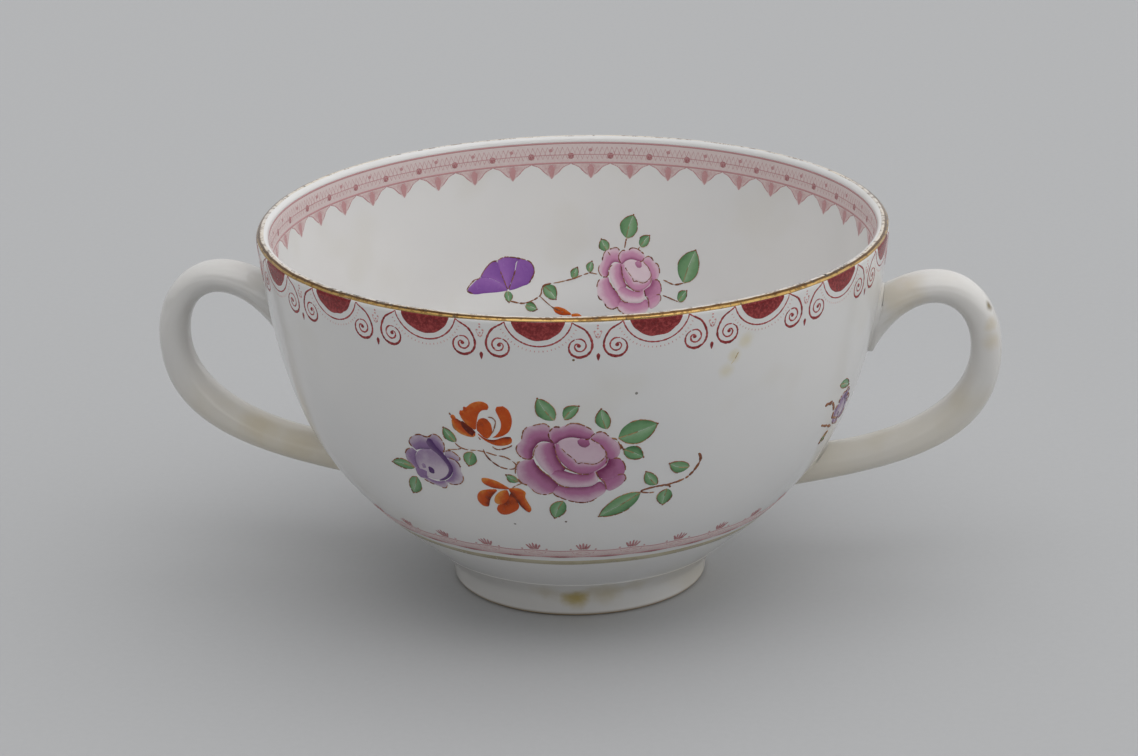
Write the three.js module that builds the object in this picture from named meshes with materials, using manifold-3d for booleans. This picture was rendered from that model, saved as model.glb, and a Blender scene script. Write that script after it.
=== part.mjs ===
// Two-handled broth cup in glazed porcelain, in millimetres, +Z up.
// The origin is on the table under the middle of the foot, and the handles lie along X.
// Four fired pieces: the bowl, the foot ring under it, and a cast loop handle on each side.

import * as THREE from "three";
import Module from "manifold-3d";
import { mergeVertices } from "three/addons/utils/BufferGeometryUtils.js";

const wasm = await Module();
wasm.setup();

// Overall
const cupHeight = 58.6;
const rimRadius = 49;
const jointGap = 0.3;

// Foot ring
const footHeight = 4.8;
const footRadius = 20.05;
const footTopRadius = 21.6;
const footWaist = 0.25;
const footWaistShare = 0.65;
const footRingWidth = 3.1;
const footInnerDraft = 0.8;
const footEdgeRadius = 0.7;

// Bowl
const wallThickness = 2.4;
const lipThickness = 1.9;
const floorThickness = 3;
const floorJoin = 0.1;
const undersideDome = 0.5;
const turnRadius = 22.6;
const turnRise = 0.8;
const turnSlope = THREE.MathUtils.degToRad(40.3);
const turnFullness = 20.3;
const rimSlope = THREE.MathUtils.degToRad(84.6);
const rimFullness = 32;

// Handles: the line of the loop, seen from the front
const handleReach = 17.5;
const handleThickness = 4.8;
const handleDrop = 10.3;
const farSideDrop = 9.8;
const tailLength = 10.7;
const tailTipThickness = 0.9;
const armSlope = THREE.MathUtils.degToRad(30);
const lowerSeatRise = 10;
const lowerSeatLength = 6.8;
const returnSlope = THREE.MathUtils.degToRad(11.5);
const rootDepth = 4;

// Handles: the section, an oval that is wider along Y than it is thick
const handleWidth = 6.8;
const upperSeatWidth = 8.2;
const lowerSeatWidth = 7.8;
const tailNarrowing = 0.5;
const seatBlend = 0.35;
const sectionSquareness = 2.3;

// Handles: how full each bend of the outer line is, as a share of the way that it spans
const armFullness = 0.71;
const shoulderFullness = 0.93;
const dropFullness = 0.67;
const returnFullness = 0.58;

// Handles: from each bend of the outer line to that of the inner one, in thicknesses
const armInset = new THREE.Vector2(-1.35, -1.1);
const shoulderInset = new THREE.Vector2(-1, 0);
const dropInset = new THREE.Vector2(-1, 1.2);
const returnInset = new THREE.Vector2(-0.8, 0.8);

// Facets
const turnSegments = 80;
const wallSteps = 15;
const lipSteps = 6;
const handleSteps = 34;
const sectionSides = 20;

const footInnerRadius = footRadius - footRingWidth;
const footTopInnerRadius = footInnerRadius - footInnerDraft;
const bowlSeatHeight = footHeight + jointGap;
const turnHeight = bowlSeatHeight + turnRise;
const lipRadius = lipThickness / 2;
const lipCentre = new THREE.Vector2(rimRadius - lipRadius, cupHeight - lipRadius);
const lipStart = rimSlope - Math.PI / 2;

function along(start, angle, distance) {
  const x = start.x + distance * Math.cos(angle);
  const y = start.y + distance * Math.sin(angle);
  return new THREE.Vector2(x, y);
}

// The outside of the bowl in radius and height, from the turn above the foot up to the lip.
function outerWall() {
  const turn = new THREE.Vector2(turnRadius, turnHeight);
  const rim = along(lipCentre, lipStart, lipRadius);
  const turnControl = along(turn, turnSlope, turnFullness);
  const rimControl = along(rim, rimSlope + Math.PI, rimFullness);
  return new THREE.CubicBezierCurve(turn, turnControl, rimControl, rim);
}

// A point of the wall, moved along the wall's normal: inwards for a positive depth.
function wallPoint(curve, t, depth) {
  const point = curve.getPoint(t);
  const tangent = curve.getTangent(t);
  return new THREE.Vector2(point.x - tangent.y * depth, point.y + tangent.x * depth);
}

function wallLine(curve, depthAt, from = 0) {
  const line = [];
  for (let i = 0; i <= wallSteps; i += 1) {
    const t = THREE.MathUtils.lerp(from, 1, i / wallSteps);
    line.push(wallPoint(curve, t, depthAt(t)));
  }
  return line;
}

function wallRadiusAt(curve, height) {
  let low = 0;
  let high = 1;
  for (let i = 0; i < 40; i += 1) {
    const middle = (low + high) / 2;
    if (curve.getPoint(middle).y < height) {
      low = middle;
    } else {
      high = middle;
    }
  }
  return curve.getPoint(low).x;
}

function revolve(profile) {
  const geometry = new THREE.LatheGeometry(profile, turnSegments);
  geometry.rotateX(Math.PI / 2);
  return geometry;
}

// Half round of the lip, from the outside over the top to the inside.
function lipLine() {
  const line = [];
  for (let i = 1; i < lipSteps; i += 1) {
    line.push(along(lipCentre, lipStart + (Math.PI * i) / lipSteps, lipRadius));
  }
  return line;
}

// The inside of the floor, level in the middle and running up into the inner wall.
function floorCurve(curve, join) {
  const floorHeight = bowlSeatHeight + undersideDome + floorThickness;
  const centre = new THREE.Vector2(0, floorHeight);
  const slope = curve.getTangent(floorJoin);
  const bendRadius = join.x - ((join.y - floorHeight) * slope.x) / slope.y;
  return new THREE.QuadraticBezierCurve(join, new THREE.Vector2(bendRadius, floorHeight), centre);
}

// The seat on the foot ring, with the shallow dome that the ring encloses.
function undersideCurve() {
  const centre = new THREE.Vector2(0, bowlSeatHeight + undersideDome);
  const seatInner = new THREE.Vector2(footTopInnerRadius, bowlSeatHeight);
  const domeEdge = new THREE.Vector2(seatInner.x / 2, centre.y);
  return new THREE.QuadraticBezierCurve(centre, domeEdge, seatInner);
}

function bowlGeometry() {
  const curve = outerWall();
  const thicknessAt = (t) => THREE.MathUtils.lerp(wallThickness, lipThickness, t);
  const inside = wallLine(curve, thicknessAt, floorJoin).reverse();
  const floor = floorCurve(curve, inside[inside.length - 1]);
  const seatOuter = new THREE.Vector2(footTopRadius, bowlSeatHeight);
  const profile = [
    ...undersideCurve().getPoints(3),
    seatOuter,
    ...wallLine(curve, () => 0),
    ...lipLine(),
    ...inside,
    ...floor.getPoints(6).slice(1),
  ];
  return revolve(profile);
}

function footRingGeometry() {
  const bottomOuter = new THREE.Vector2(footRadius - footEdgeRadius, 0);
  const bottomInner = new THREE.Vector2(footInnerRadius + footEdgeRadius, 0);
  const sideBottom = new THREE.Vector2(footRadius, footEdgeRadius);
  const sideTop = new THREE.Vector2(footTopRadius, footHeight);
  const sideWaist = new THREE.Vector2(footRadius + footWaist, footHeight * footWaistShare);
  const innerTop = new THREE.Vector2(footTopInnerRadius, footHeight);
  const innerBottom = new THREE.Vector2(footInnerRadius, footEdgeRadius);

  const outerCorner = new THREE.Vector2(footRadius, 0);
  const innerCorner = new THREE.Vector2(footInnerRadius, 0);
  const outerEdge = new THREE.QuadraticBezierCurve(bottomOuter, outerCorner, sideBottom);
  const side = new THREE.QuadraticBezierCurve(sideBottom, sideWaist, sideTop);
  const innerEdge = new THREE.QuadraticBezierCurve(innerBottom, innerCorner, bottomInner);

  const profile = [
    ...outerEdge.getPoints(3),
    ...side.getPoints(7).slice(1),
    innerTop,
    ...innerEdge.getPoints(3),
    bottomOuter.clone(),
  ];
  return revolve(profile);
}

// The outer line of the loop: out and over from the upper seat to the far side, then down
// and back to the lower seat. Each sweep is given by its four control points.
function outerSweeps(wall) {
  const startHeight = cupHeight - handleDrop;
  const endHeight = bowlSeatHeight + lowerSeatRise;
  const start = new THREE.Vector2(wallRadiusAt(wall, startHeight), startHeight);
  const end = new THREE.Vector2(wallRadiusAt(wall, endHeight), endHeight);
  const far = new THREE.Vector2(rimRadius + handleReach, startHeight - farSideDrop);
  const arm = along(start, armSlope, armFullness * (far.x - start.x));
  const shoulder = new THREE.Vector2(far.x, far.y + shoulderFullness * (start.y - far.y));
  const drop = new THREE.Vector2(far.x, far.y - dropFullness * (far.y - end.y));
  const back = along(end, returnSlope, returnFullness * (far.x - end.x));
  return [
    [start, arm, shoulder, far],
    [far, drop, back, end],
  ];
}

// The inner line follows the outer one a handle's thickness inside it, and leaves it at both
// ends: down the wall to the tip of the tail, and up the wall from the lower seat.
function innerSweeps(wall, outer) {
  const inset = (point, steps) => point.clone().addScaledVector(steps, handleThickness);
  const [start, arm, shoulder, far] = outer[0];
  const [, drop, back, end] = outer[1];
  const tipHeight = start.y - tailLength;
  const tip = new THREE.Vector2(wallRadiusAt(wall, tipHeight) + tailTipThickness, tipHeight);
  const seatTopHeight = end.y + lowerSeatLength;
  const seatTop = new THREE.Vector2(wallRadiusAt(wall, seatTopHeight), seatTopHeight);
  const nearFar = inset(far, new THREE.Vector2(-1, 0));
  return [
    [tip, inset(arm, armInset), inset(shoulder, shoulderInset), nearFar],
    [nearFar, inset(drop, dropInset), inset(back, returnInset), seatTop],
  ];
}

function sweepPoint(sweeps, t) {
  const [start, bend, nextBend, end] = sweeps[t < 0.5 ? 0 : 1];
  const curve = new THREE.CubicBezierCurve(start, bend, nextBend, end);
  return curve.getPoint(t < 0.5 ? t * 2 : t * 2 - 1);
}

function widthAt(t) {
  const nearTop = 1 - THREE.MathUtils.smoothstep(t, 0, seatBlend);
  const nearEnd = THREE.MathUtils.smoothstep(t, 1 - seatBlend, 1);
  const topExtra = (upperSeatWidth - handleWidth) * nearTop;
  return handleWidth + topExtra + (lowerSeatWidth - handleWidth) * nearEnd;
}

// One oval of the handle between an outer and an inner point. The narrowing draws its inner
// half in to a point, as the tail of the upper seat is.
function sectionRing(outerPoint, innerPoint, width, narrowing) {
  const ring = [];
  const centre = outerPoint.clone().add(innerPoint).multiplyScalar(0.5);
  const half = outerPoint.clone().sub(innerPoint).multiplyScalar(0.5);
  const power = 2 / sectionSquareness;
  for (let i = 0; i < sectionSides; i += 1) {
    const angle = (2 * Math.PI * i) / sectionSides;
    const across = Math.sign(Math.cos(angle)) * Math.abs(Math.cos(angle)) ** power;
    const side = Math.sign(Math.sin(angle)) * Math.abs(Math.sin(angle)) ** power;
    const drawnIn = 1 - narrowing * Math.max(0, -across);
    const point = centre.clone().addScaledVector(half, across);
    ring.push(new THREE.Vector3(point.x, (side * drawnIn * width) / 2, point.y));
  }
  return ring;
}

function moveInwards(point) {
  return new THREE.Vector2(point.x - rootDepth, point.y);
}

function handleRings(wall) {
  const outer = outerSweeps(wall);
  const inner = innerSweeps(wall, outer);
  const rings = [];
  const upperRoot = [moveInwards(outer[0][0]), moveInwards(inner[0][0])];
  rings.push(sectionRing(...upperRoot, upperSeatWidth, tailNarrowing));
  for (let i = 0; i <= handleSteps; i += 1) {
    const t = i / handleSteps;
    const narrowing = tailNarrowing * (1 - THREE.MathUtils.smoothstep(t, 0, seatBlend));
    rings.push(sectionRing(sweepPoint(outer, t), sweepPoint(inner, t), widthAt(t), narrowing));
  }
  const lowerRoot = [moveInwards(outer[1][3]), moveInwards(inner[1][3])];
  rings.push(sectionRing(...lowerRoot, lowerSeatWidth, 0));
  return rings;
}

// A closed skin over a row of rings, with a flat cap at each end.
function loftGeometry(rings) {
  const sides = rings[0].length;
  const positions = rings.flat().flatMap((point) => point.toArray());
  const index = [];
  for (let row = 0; row < rings.length - 1; row += 1) {
    for (let i = 0; i < sides; i += 1) {
      const next = (i + 1) % sides;
      const corner = row * sides + i;
      const beside = row * sides + next;
      index.push(corner, corner + sides, beside);
      index.push(beside, corner + sides, beside + sides);
    }
  }
  const last = (rings.length - 1) * sides;
  for (let i = 1; i < sides - 1; i += 1) {
    index.push(0, i, i + 1);
    index.push(last, last + i + 1, last + i);
  }
  const geometry = new THREE.BufferGeometry();
  geometry.setAttribute("position", new THREE.Float32BufferAttribute(positions, 3));
  geometry.setIndex(index);
  return geometry;
}

function toSolid(geometry) {
  geometry.deleteAttribute("normal");
  geometry.deleteAttribute("uv");
  const merged = mergeVertices(geometry, 1e-4);
  const corners = merged.index.array;
  const triangles = [];
  for (let i = 0; i < corners.length; i += 3) {
    const [a, b, c] = corners.slice(i, i + 3);
    if (a !== b && b !== c && c !== a) {
      triangles.push(a, b, c);
    }
  }
  const mesh = new wasm.Mesh({
    numProp: 3,
    vertProperties: new Float32Array(merged.attributes.position.array),
    triVerts: new Uint32Array(triangles),
  });
  return new wasm.Manifold(mesh);
}

function fromSolid(solid) {
  const mesh = solid.getMesh();
  const geometry = new THREE.BufferGeometry();
  geometry.setAttribute("position", new THREE.BufferAttribute(mesh.vertProperties, 3));
  geometry.setIndex(new THREE.BufferAttribute(mesh.triVerts, 1));
  geometry.computeVertexNormals();
  return geometry;
}

// The bowl as a full round body, grown by the joint gap, that trims the handles' roots.
function bowlEnvelope(wall) {
  const line = wallLine(wall, () => -jointGap);
  const top = new THREE.Vector2(0, line[line.length - 1].y);
  const bottom = new THREE.Vector2(0, line[0].y);
  return revolve([bottom, ...line, top]);
}

function handleGeometry() {
  const wall = outerWall();
  const loop = toSolid(loftGeometry(handleRings(wall)));
  const envelope = toSolid(bowlEnvelope(wall));
  return fromSolid(loop.subtract(envelope));
}

function porcelain(color, roughness) {
  return new THREE.MeshStandardMaterial({ color, roughness, metalness: 0 });
}

function piece(name, geometry, material) {
  const mesh = new THREE.Mesh(geometry, material);
  mesh.name = name;
  return mesh;
}

const cup = new THREE.Group();
cup.add(piece("bowl", bowlGeometry(), porcelain(0xe6e3dc, 0.14)));
cup.add(piece("foot_ring", footRingGeometry(), porcelain(0xd8d5cb, 0.2)));

const sides = [
  { name: "handle_right", turn: 0, color: 0xdfdacd },
  { name: "handle_left", turn: Math.PI, color: 0xdcd7ca },
];
for (const { name, turn, color } of sides) {
  const handle = piece(name, handleGeometry(), porcelain(color, 0.16));
  handle.rotation.z = turn;
  cup.add(handle);
}

export default cup;
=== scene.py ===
import math

import bmesh
import bpy
import numpy as np
from mathutils import Matrix


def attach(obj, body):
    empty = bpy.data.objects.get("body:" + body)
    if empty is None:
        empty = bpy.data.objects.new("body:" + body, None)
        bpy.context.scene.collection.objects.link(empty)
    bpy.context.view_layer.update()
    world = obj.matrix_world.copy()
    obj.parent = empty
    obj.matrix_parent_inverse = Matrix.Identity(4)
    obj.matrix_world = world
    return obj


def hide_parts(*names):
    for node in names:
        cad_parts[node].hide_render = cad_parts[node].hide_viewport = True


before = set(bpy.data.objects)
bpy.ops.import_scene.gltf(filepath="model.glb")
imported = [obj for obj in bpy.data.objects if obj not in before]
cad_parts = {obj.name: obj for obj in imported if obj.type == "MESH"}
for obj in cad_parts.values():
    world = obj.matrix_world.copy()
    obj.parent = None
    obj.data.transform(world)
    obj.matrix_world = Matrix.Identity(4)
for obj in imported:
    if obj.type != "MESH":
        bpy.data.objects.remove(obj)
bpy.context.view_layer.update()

# Bowl
# The body of the cup: jiggered or thrown porcelain, one wall that thins towards a
# rounded lip, dipped in a clear grey-white glaze. Everything else is stuck or
# painted onto it, so its wall also gives the charts that the paint lies on.
MM = 0.001
BODY = "root"

CUP_HEIGHT = 58.57
RIM_RADIUS = 48.97
WALL_THICKNESS = 2.4
LIP_THICKNESS = 1.9
FLOOR_HEIGHT = 8.6
UNDERSIDE_HEIGHT = 5.6
SEAT_HEIGHT = 5.1
SEAT_RADIUS = 21.6
SEAT_INNER_RADIUS = 16.15
TURN = np.array([22.6, 5.9])
TURN_SLOPE = math.radians(40.3)
TURN_FULLNESS = 20.3
RIM_SLOPE = math.radians(84.6)
RIM_FULLNESS = 32.0
FLOOR_JOIN = 0.1
NEAR_AXIS = 0.02
KILN_PULL, KILN_SINK, KILN_LEAN = 0.0012, 0.02, 0.09
AROUND = 384
WALL_RINGS, LIP_RINGS, INSIDE_RINGS = 70, 16, 84


def heading(angle):
    return np.array([math.cos(angle), math.sin(angle)])


def bezier(corners, t):
    corners = [np.asarray(c, float) for c in corners]
    t = np.asarray(t, float)[:, None]
    while len(corners) > 1:
        corners = [a * (1 - t) + b * t for a, b in zip(corners, corners[1:])]
    return corners[0]


def curve(corners, count):
    return bezier(corners, np.linspace(0, 1, count))


def unit(vectors):
    return vectors / np.linalg.norm(vectors, axis=-1, keepdims=True)


LIP_RADIUS = LIP_THICKNESS / 2
LIP_CENTRE = np.array([RIM_RADIUS - LIP_RADIUS, CUP_HEIGHT - LIP_RADIUS])
LIP_START = RIM_SLOPE - math.pi / 2
RIM_POINT = LIP_CENTRE + LIP_RADIUS * heading(LIP_START)
WALL = [
    TURN,
    TURN + TURN_FULLNESS * heading(TURN_SLOPE),
    RIM_POINT - RIM_FULLNESS * heading(RIM_SLOPE),
    RIM_POINT,
]


def wall_line(t):
    """Points of the outside of the wall in radius and height, with their outward normals."""
    points = bezier(WALL, t)
    legs = [3 * (b - a) for a, b in zip(WALL, WALL[1:])]
    along = unit(bezier(legs, t))
    return points, np.stack([along[:, 1], -along[:, 0]], -1)


class Profile:
    """A line in radius and height that can be asked for a place by its length from the start."""

    def __init__(self, points, normals):
        self.points, self.normals = points, normals
        steps = np.linalg.norm(np.diff(points, axis=0), axis=1)
        self.lengths = np.concatenate([[0], np.cumsum(steps)])
        self.total = self.lengths[-1]

    def at(self, length):
        out = []
        for table in (self.points, self.normals):
            out += [np.interp(length, self.lengths, table[:, k]) for k in (0, 1)]
        return out


def fired(points):
    """The cup settles a little in the kiln: at most 0.12 mm in, and 0.2 mm down at the back."""
    x, y, z = points[..., 0], points[..., 1], points[..., 2]
    turn = np.arctan2(y, x)
    high = np.clip(z / CUP_HEIGHT, 0, 1)
    pull = 1 - KILN_PULL * high**2 * (1 - np.cos(2 * turn + 0.6))
    drop = high**3 * (KILN_SINK + KILN_LEAN * (1 + np.sin(turn - 0.15)))
    return np.stack([x * pull, y * pull, z - drop], -1)


def revolved(profile, around=AROUND):
    turn = np.arange(around) * 2 * math.pi / around
    radius, height = profile[:, 0][:, None], profile[:, 1][:, None]
    return np.stack([radius * np.cos(turn), radius * np.sin(turn), height + 0 * turn], -1)


def skin_faces(rows, columns, closed_rows=False):
    """Quads over rows of points, each row closed on itself."""
    faces = []
    for i in range(rows if closed_rows else rows - 1):
        a, b = i * columns, (i + 1) % rows * columns
        for j in range(columns):
            k = (j + 1) % columns
            faces.append((a + j, a + k, b + k, b + j))
    return faces


def capped_faces(rows, columns):
    """The same, with a flat face at the first and at the last row."""
    first, last = range(columns), range((rows - 1) * columns, rows * columns)
    return [*skin_faces(rows, columns), tuple(first), tuple(last)[::-1]]


def make_piece(name, points, faces, material, tones=None):
    mesh = bpy.data.meshes.new(name)
    mesh.from_pydata((fired(np.asarray(points)) * MM).tolist(), [], faces)
    if tones is not None:
        mesh.attributes.new("tone", "FLOAT", "POINT").data.foreach_set("value", tones)
    mesh.validate()
    shell = bmesh.new()
    shell.from_mesh(mesh)
    bmesh.ops.recalc_face_normals(shell, faces=shell.faces)
    shell.to_mesh(mesh)
    shell.free()
    mesh.polygons.foreach_set("use_smooth", [True] * len(mesh.polygons))
    mesh.materials.append(material)
    piece = bpy.data.objects.new(name, mesh)
    bpy.context.scene.collection.objects.link(piece)
    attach(piece, BODY)
    return piece


def lip_line(count):
    angles = LIP_START + math.pi * np.arange(1, count) / count
    return LIP_CENTRE + LIP_RADIUS * np.stack([np.cos(angles), np.sin(angles)], -1)


outer_points, outer_normals = wall_line(np.linspace(0, 1, 900))
outside = Profile(outer_points, outer_normals)

inner_t = np.linspace(FLOOR_JOIN, 1, 800)
inner_points, inner_normals = wall_line(inner_t)
depth = WALL_THICKNESS + (LIP_THICKNESS - WALL_THICKNESS) * inner_t
inner_points = inner_points - inner_normals * depth[:, None]
join = inner_points[0]
join_slope = np.array([-inner_normals[0, 1], inner_normals[0, 0]])
floor_bend = join[0] - (join[1] - FLOOR_HEIGHT) * join_slope[0] / join_slope[1]
floor_corners = [(0, FLOOR_HEIGHT), (floor_bend, FLOOR_HEIGHT), join]
floor_points = curve(floor_corners, 300)
floor_legs = unit(np.gradient(floor_points, axis=0))
floor_normals = np.stack([-floor_legs[:, 1], floor_legs[:, 0]], -1)
inside = Profile(
    np.concatenate([floor_points[:-1], inner_points]),
    np.concatenate([floor_normals[:-1], -inner_normals]),
)


def thinned(points, count):
    return points[np.linspace(0, len(points) - 1, count).round().astype(int)]


underside_bend = (SEAT_INNER_RADIUS / 2, UNDERSIDE_HEIGHT)
underside_corners = [(NEAR_AXIS, UNDERSIDE_HEIGHT), underside_bend, (SEAT_INNER_RADIUS, SEAT_HEIGHT)]
bowl_profile = np.concatenate([
    curve(underside_corners, 12),
    [(SEAT_RADIUS, SEAT_HEIGHT)],
    thinned(outer_points, WALL_RINGS),
    lip_line(LIP_RINGS),
    thinned(inside.points[1:], INSIDE_RINGS)[::-1],
])


def feed(tree, socket, value):
    """Gives a socket a number or a colour, or links it to another node's output."""
    if isinstance(value, bpy.types.NodeSocket):
        tree.links.new(value, socket)
    else:
        socket.default_value = value


def put(tree, kind, inputs=None, **settings):
    """Adds a shader node with its settings and what feeds its inputs."""
    node = tree.nodes.new("ShaderNode" + kind)
    for key, value in settings.items():
        setattr(node, key, value)
    for key, value in (inputs or {}).items():
        feed(tree, node.inputs[key], value)
    return node


def own_place(tree):
    return put(tree, "TexCoord").outputs["Object"]


def axes_of(tree, where):
    return put(tree, "SeparateXYZ", {"Vector": where}).outputs


def screen_colour(red, green, blue):
    """A colour as it is read off a screen, 0 to 255, as the linear one that shaders take."""
    parts = [c / 255 for c in (red, green, blue)]
    parts = [c / 12.92 if c < 0.04045 else ((c + 0.055) / 1.055) ** 2.4 for c in parts]
    return (*parts, 1)


def blended(tree, factor, a, b, mode="MIX"):
    """Two colours mixed. A Mix node's colour sockets are its inputs 6 and 7 and its output 2."""
    node = put(tree, "Mix", data_type="RGBA", blend_type=mode)
    for index, value in ((0, factor), (6, a), (7, b)):
        feed(tree, node.inputs[index], value)
    return node.outputs[2]


def noise(tree, where, scale, detail=2.0, roughness=0.5):
    inputs = {"Vector": where, "Scale": scale, "Detail": detail, "Roughness": roughness}
    return put(tree, "TexNoise", inputs).outputs["Fac"]


def maths(tree, operation, *values):
    return put(tree, "Math", dict(enumerate(values)), operation=operation).outputs[0]


def times(tree, first, *others):
    for other in others:
        first = maths(tree, "MULTIPLY", first, other)
    return first


def strongest(tree, first, *others):
    for other in others:
        first = maths(tree, "MAXIMUM", first, other)
    return first


def scaled(tree, value, scale, plus):
    return maths(tree, "MULTIPLY_ADD", value, scale, plus)


def between(tree, value, low, high):
    """0 below low, 1 above high and smooth between them."""
    inputs = {"Value": value, "From Min": low, "From Max": high}
    return put(tree, "MapRange", inputs, interpolation_type="SMOOTHSTEP").outputs["Result"]


def new_group(name, inputs, outputs):
    group = bpy.data.node_groups.new(name, "ShaderNodeTree")
    for label, value in inputs.items():
        kind = "NodeSocketColor" if isinstance(value, tuple) else "NodeSocketFloat"
        socket = group.interface.new_socket(label, in_out="INPUT", socket_type=kind)
        socket.default_value = value
    for label, kind in outputs.items():
        group.interface.new_socket(label, in_out="OUTPUT", socket_type="NodeSocket" + kind)
    source = group.nodes.new("NodeGroupInput").outputs
    return group, source, group.nodes.new("NodeGroupOutput").inputs


def new_material(name):
    material = bpy.data.materials.new(name)
    material.use_nodes = True
    tree = material.node_tree
    return material, tree, tree.nodes["Principled BSDF"].inputs


def placed(tree, group, **inputs):
    node = tree.nodes.new("ShaderNodeGroup")
    node.node_tree = group
    for key, value in inputs.items():
        feed(tree, node.inputs[key.replace("_", " ")], value)
    return node.outputs


def coated(name, group, relief, relief_height, **inputs):
    """A material whose colour, roughness and small relief come from a group of nodes."""
    material, tree, shader = new_material(name)
    look = placed(tree, group, **inputs)
    feed(tree, shader["Base Color"], look["Color"])
    feed(tree, shader["Roughness"], look["Roughness"])
    heights = {"Height": look["Height"], "Strength": relief, "Distance": relief_height}
    feed(tree, shader["Normal"], put(tree, "Bump", heights).outputs["Normal"])
    return material, tree, shader, look


# The fired glaze: cloudy tone, iron specks, pinholes and a faint orange peel.
tree, given, result = new_group(
    "fired_glaze",
    {"Glaze": (0.5, 0.5, 0.5, 1), "Stain": (0.4, 0.35, 0.2, 1), "Stain amount": 0.3,
     "Speck amount": 1.0, "Peel": 1.0},
    {"Color": "Color", "Roughness": "Float", "Height": "Float"},
)
COOL_CLOUD = (0.94, 0.95, 0.965, 1)
IRON = screen_colour(78, 72, 62)
SPECK_SIZE, SPECK_RARITY = 0.11, 0.93
where = own_place(tree)
clouds, drift = noise(tree, where, 26, 3), noise(tree, where, 70, 2)
size = noise(tree, where, 330, 1)
cells = put(tree, "TexVoronoi", {"Vector": where, "Scale": 210}, feature="F1").outputs
chance = put(tree, "SeparateColor", {"Color": cells["Color"]}).outputs[0]
near = maths(tree, "LESS_THAN", cells["Distance"], times(tree, size, SPECK_SIZE))
rare = maths(tree, "GREATER_THAN", chance, SPECK_RARITY)
speck = times(tree, near, rare, given["Speck amount"])
toned = blended(tree, between(tree, clouds, 0.35, 0.75), given["Glaze"], COOL_CLOUD, "MULTIPLY")
dirty = times(tree, between(tree, drift, 0.55, 0.75), given["Stain amount"])
stained = blended(tree, dirty, toned, given["Stain"])
feed(tree, result["Color"], blended(tree, times(tree, speck, 0.8), stained, IRON))
feed(tree, result["Roughness"], scaled(tree, drift, 0.06, scaled(tree, speck, 0.25, 0.1)))
peel = times(tree, noise(tree, where, 900, 2), given["Peel"])
feed(tree, result["Height"], scaled(tree, clouds, 5.0, scaled(tree, speck, -1.5, peel)))
glaze_group = tree


def porcelain_material(name, glaze, dirt, dirt_amount, speck_amount):
    material, tree, shader, _ = coated(
        name, glaze_group, relief=0.25, relief_height=0.00003, Glaze=screen_colour(*glaze),
        Stain=screen_colour(*dirt), Stain_amount=dirt_amount, Speck_amount=speck_amount, Peel=1.0,
    )
    shader["IOR"].default_value = 1.5
    return material, tree, shader


def stains(tree, where, spots):
    """Each is strongest at its place and fades by its reach, in millimetres, with a ragged edge."""
    found = []
    for place, reach, strength in spots:
        middle = tuple(MM * c for c in place)
        away = put(tree, "VectorMath", {0: where, 1: middle}, operation="DISTANCE").outputs["Value"]
        ragged = scaled(tree, noise(tree, where, 420, 3), 0.8 * MM * reach, away)
        fading = between(tree, ragged, 1.4 * MM * reach, 0.5 * MM * reach)
        found.append(times(tree, fading, strength))
    return strongest(tree, *found)


def stained_over(tree, shader, amount, colour):
    glazed = shader["Base Color"].links[0].from_socket
    feed(tree, shader["Base Color"], blended(tree, amount, glazed, screen_colour(*colour)))


bowl_material, tree, shader = porcelain_material(
    "bowl_glaze", glaze=(221, 220, 218), dirt=(206, 202, 190), dirt_amount=0.25, speck_amount=1.0,
)
RUST_STAINS = [
    ((29.3, -38.1, 52.4), 1.7, 0.4), ((27.6, -38.9, 50.2), 1.5, 0.5), ((26.3, -39.2, 48.1), 1.9, 0.4),
]
stained_over(tree, shader, stains(tree, own_place(tree), RUST_STAINS), (204, 188, 126))
bowl_rings = revolved(bowl_profile)
bowl_faces = capped_faces(len(bowl_profile), AROUND)
bowl = make_piece("bowl_body", bowl_rings.reshape(-1, 3), bowl_faces, bowl_material)
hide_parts("bowl")

# Foot ring
# A turned ring of the same clay, stuck under the bowl with slip. Its joint is wiped to
# a small hollow, and the face that it stands on is bare of glaze and a little brown.
FOOT_RADIUS = 20.05
FOOT_EDGE = 0.7
FOOT_WAIST = (FOOT_RADIUS + 0.25, 3.1)
FOOT_TOP = (21.2, 4.2)
SLIP_HOLLOW = (21.8, 5.05)
SLIP_EDGE = (23.75, 6.85)
INSIDE_THE_CLAY = [(23.0, 6.9), (21.0, 6.0), (16.4, 6.0)]
FOOT_INNER_RADIUS = 16.95
FOOT_INNER_TOP = (16.25, 4.2)
INNER_SLIP = [(15.3, 5.25), (16.15, 5.15)]


def foot_edge(radius, inward):
    """The rounded edge that the ring stands on, from its flat face up to its side."""
    return curve([(radius - inward * FOOT_EDGE, 0), (radius, 0), (radius, FOOT_EDGE)], 9)


foot_profile = np.concatenate([
    foot_edge(FOOT_RADIUS, 1),
    curve([(FOOT_RADIUS, FOOT_EDGE), FOOT_WAIST, FOOT_TOP], 18)[1:],
    curve([FOOT_TOP, SLIP_HOLLOW, SLIP_EDGE], 14)[1:],
    INSIDE_THE_CLAY,
    curve([*INNER_SLIP, FOOT_INNER_TOP], 8),
    foot_edge(FOOT_INNER_RADIUS, -1)[::-1],
])
foot_material, tree, shader = porcelain_material(
    "foot_glaze", glaze=(216, 214, 210), dirt=(190, 178, 148), dirt_amount=0.35, speck_amount=0.8,
)
where = own_place(tree)
FOOT_STAINS = [
    ((1.7, -20.2, 4.1), 3.3, 0.9), ((-2.8, -20.3, 5.0), 3.6, 0.3),
    ((6.0, -19.8, 5.2), 4.4, 0.42), ((10.5, -18.6, 6.4), 3.6, 0.3),
]
stained_over(tree, shader, stains(tree, where, FOOT_STAINS), (174, 154, 84))
bare = between(tree, axes_of(tree, where)["Z"], 0.0008, 0.0002)
stained_over(tree, shader, bare, (150, 132, 104))
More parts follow.
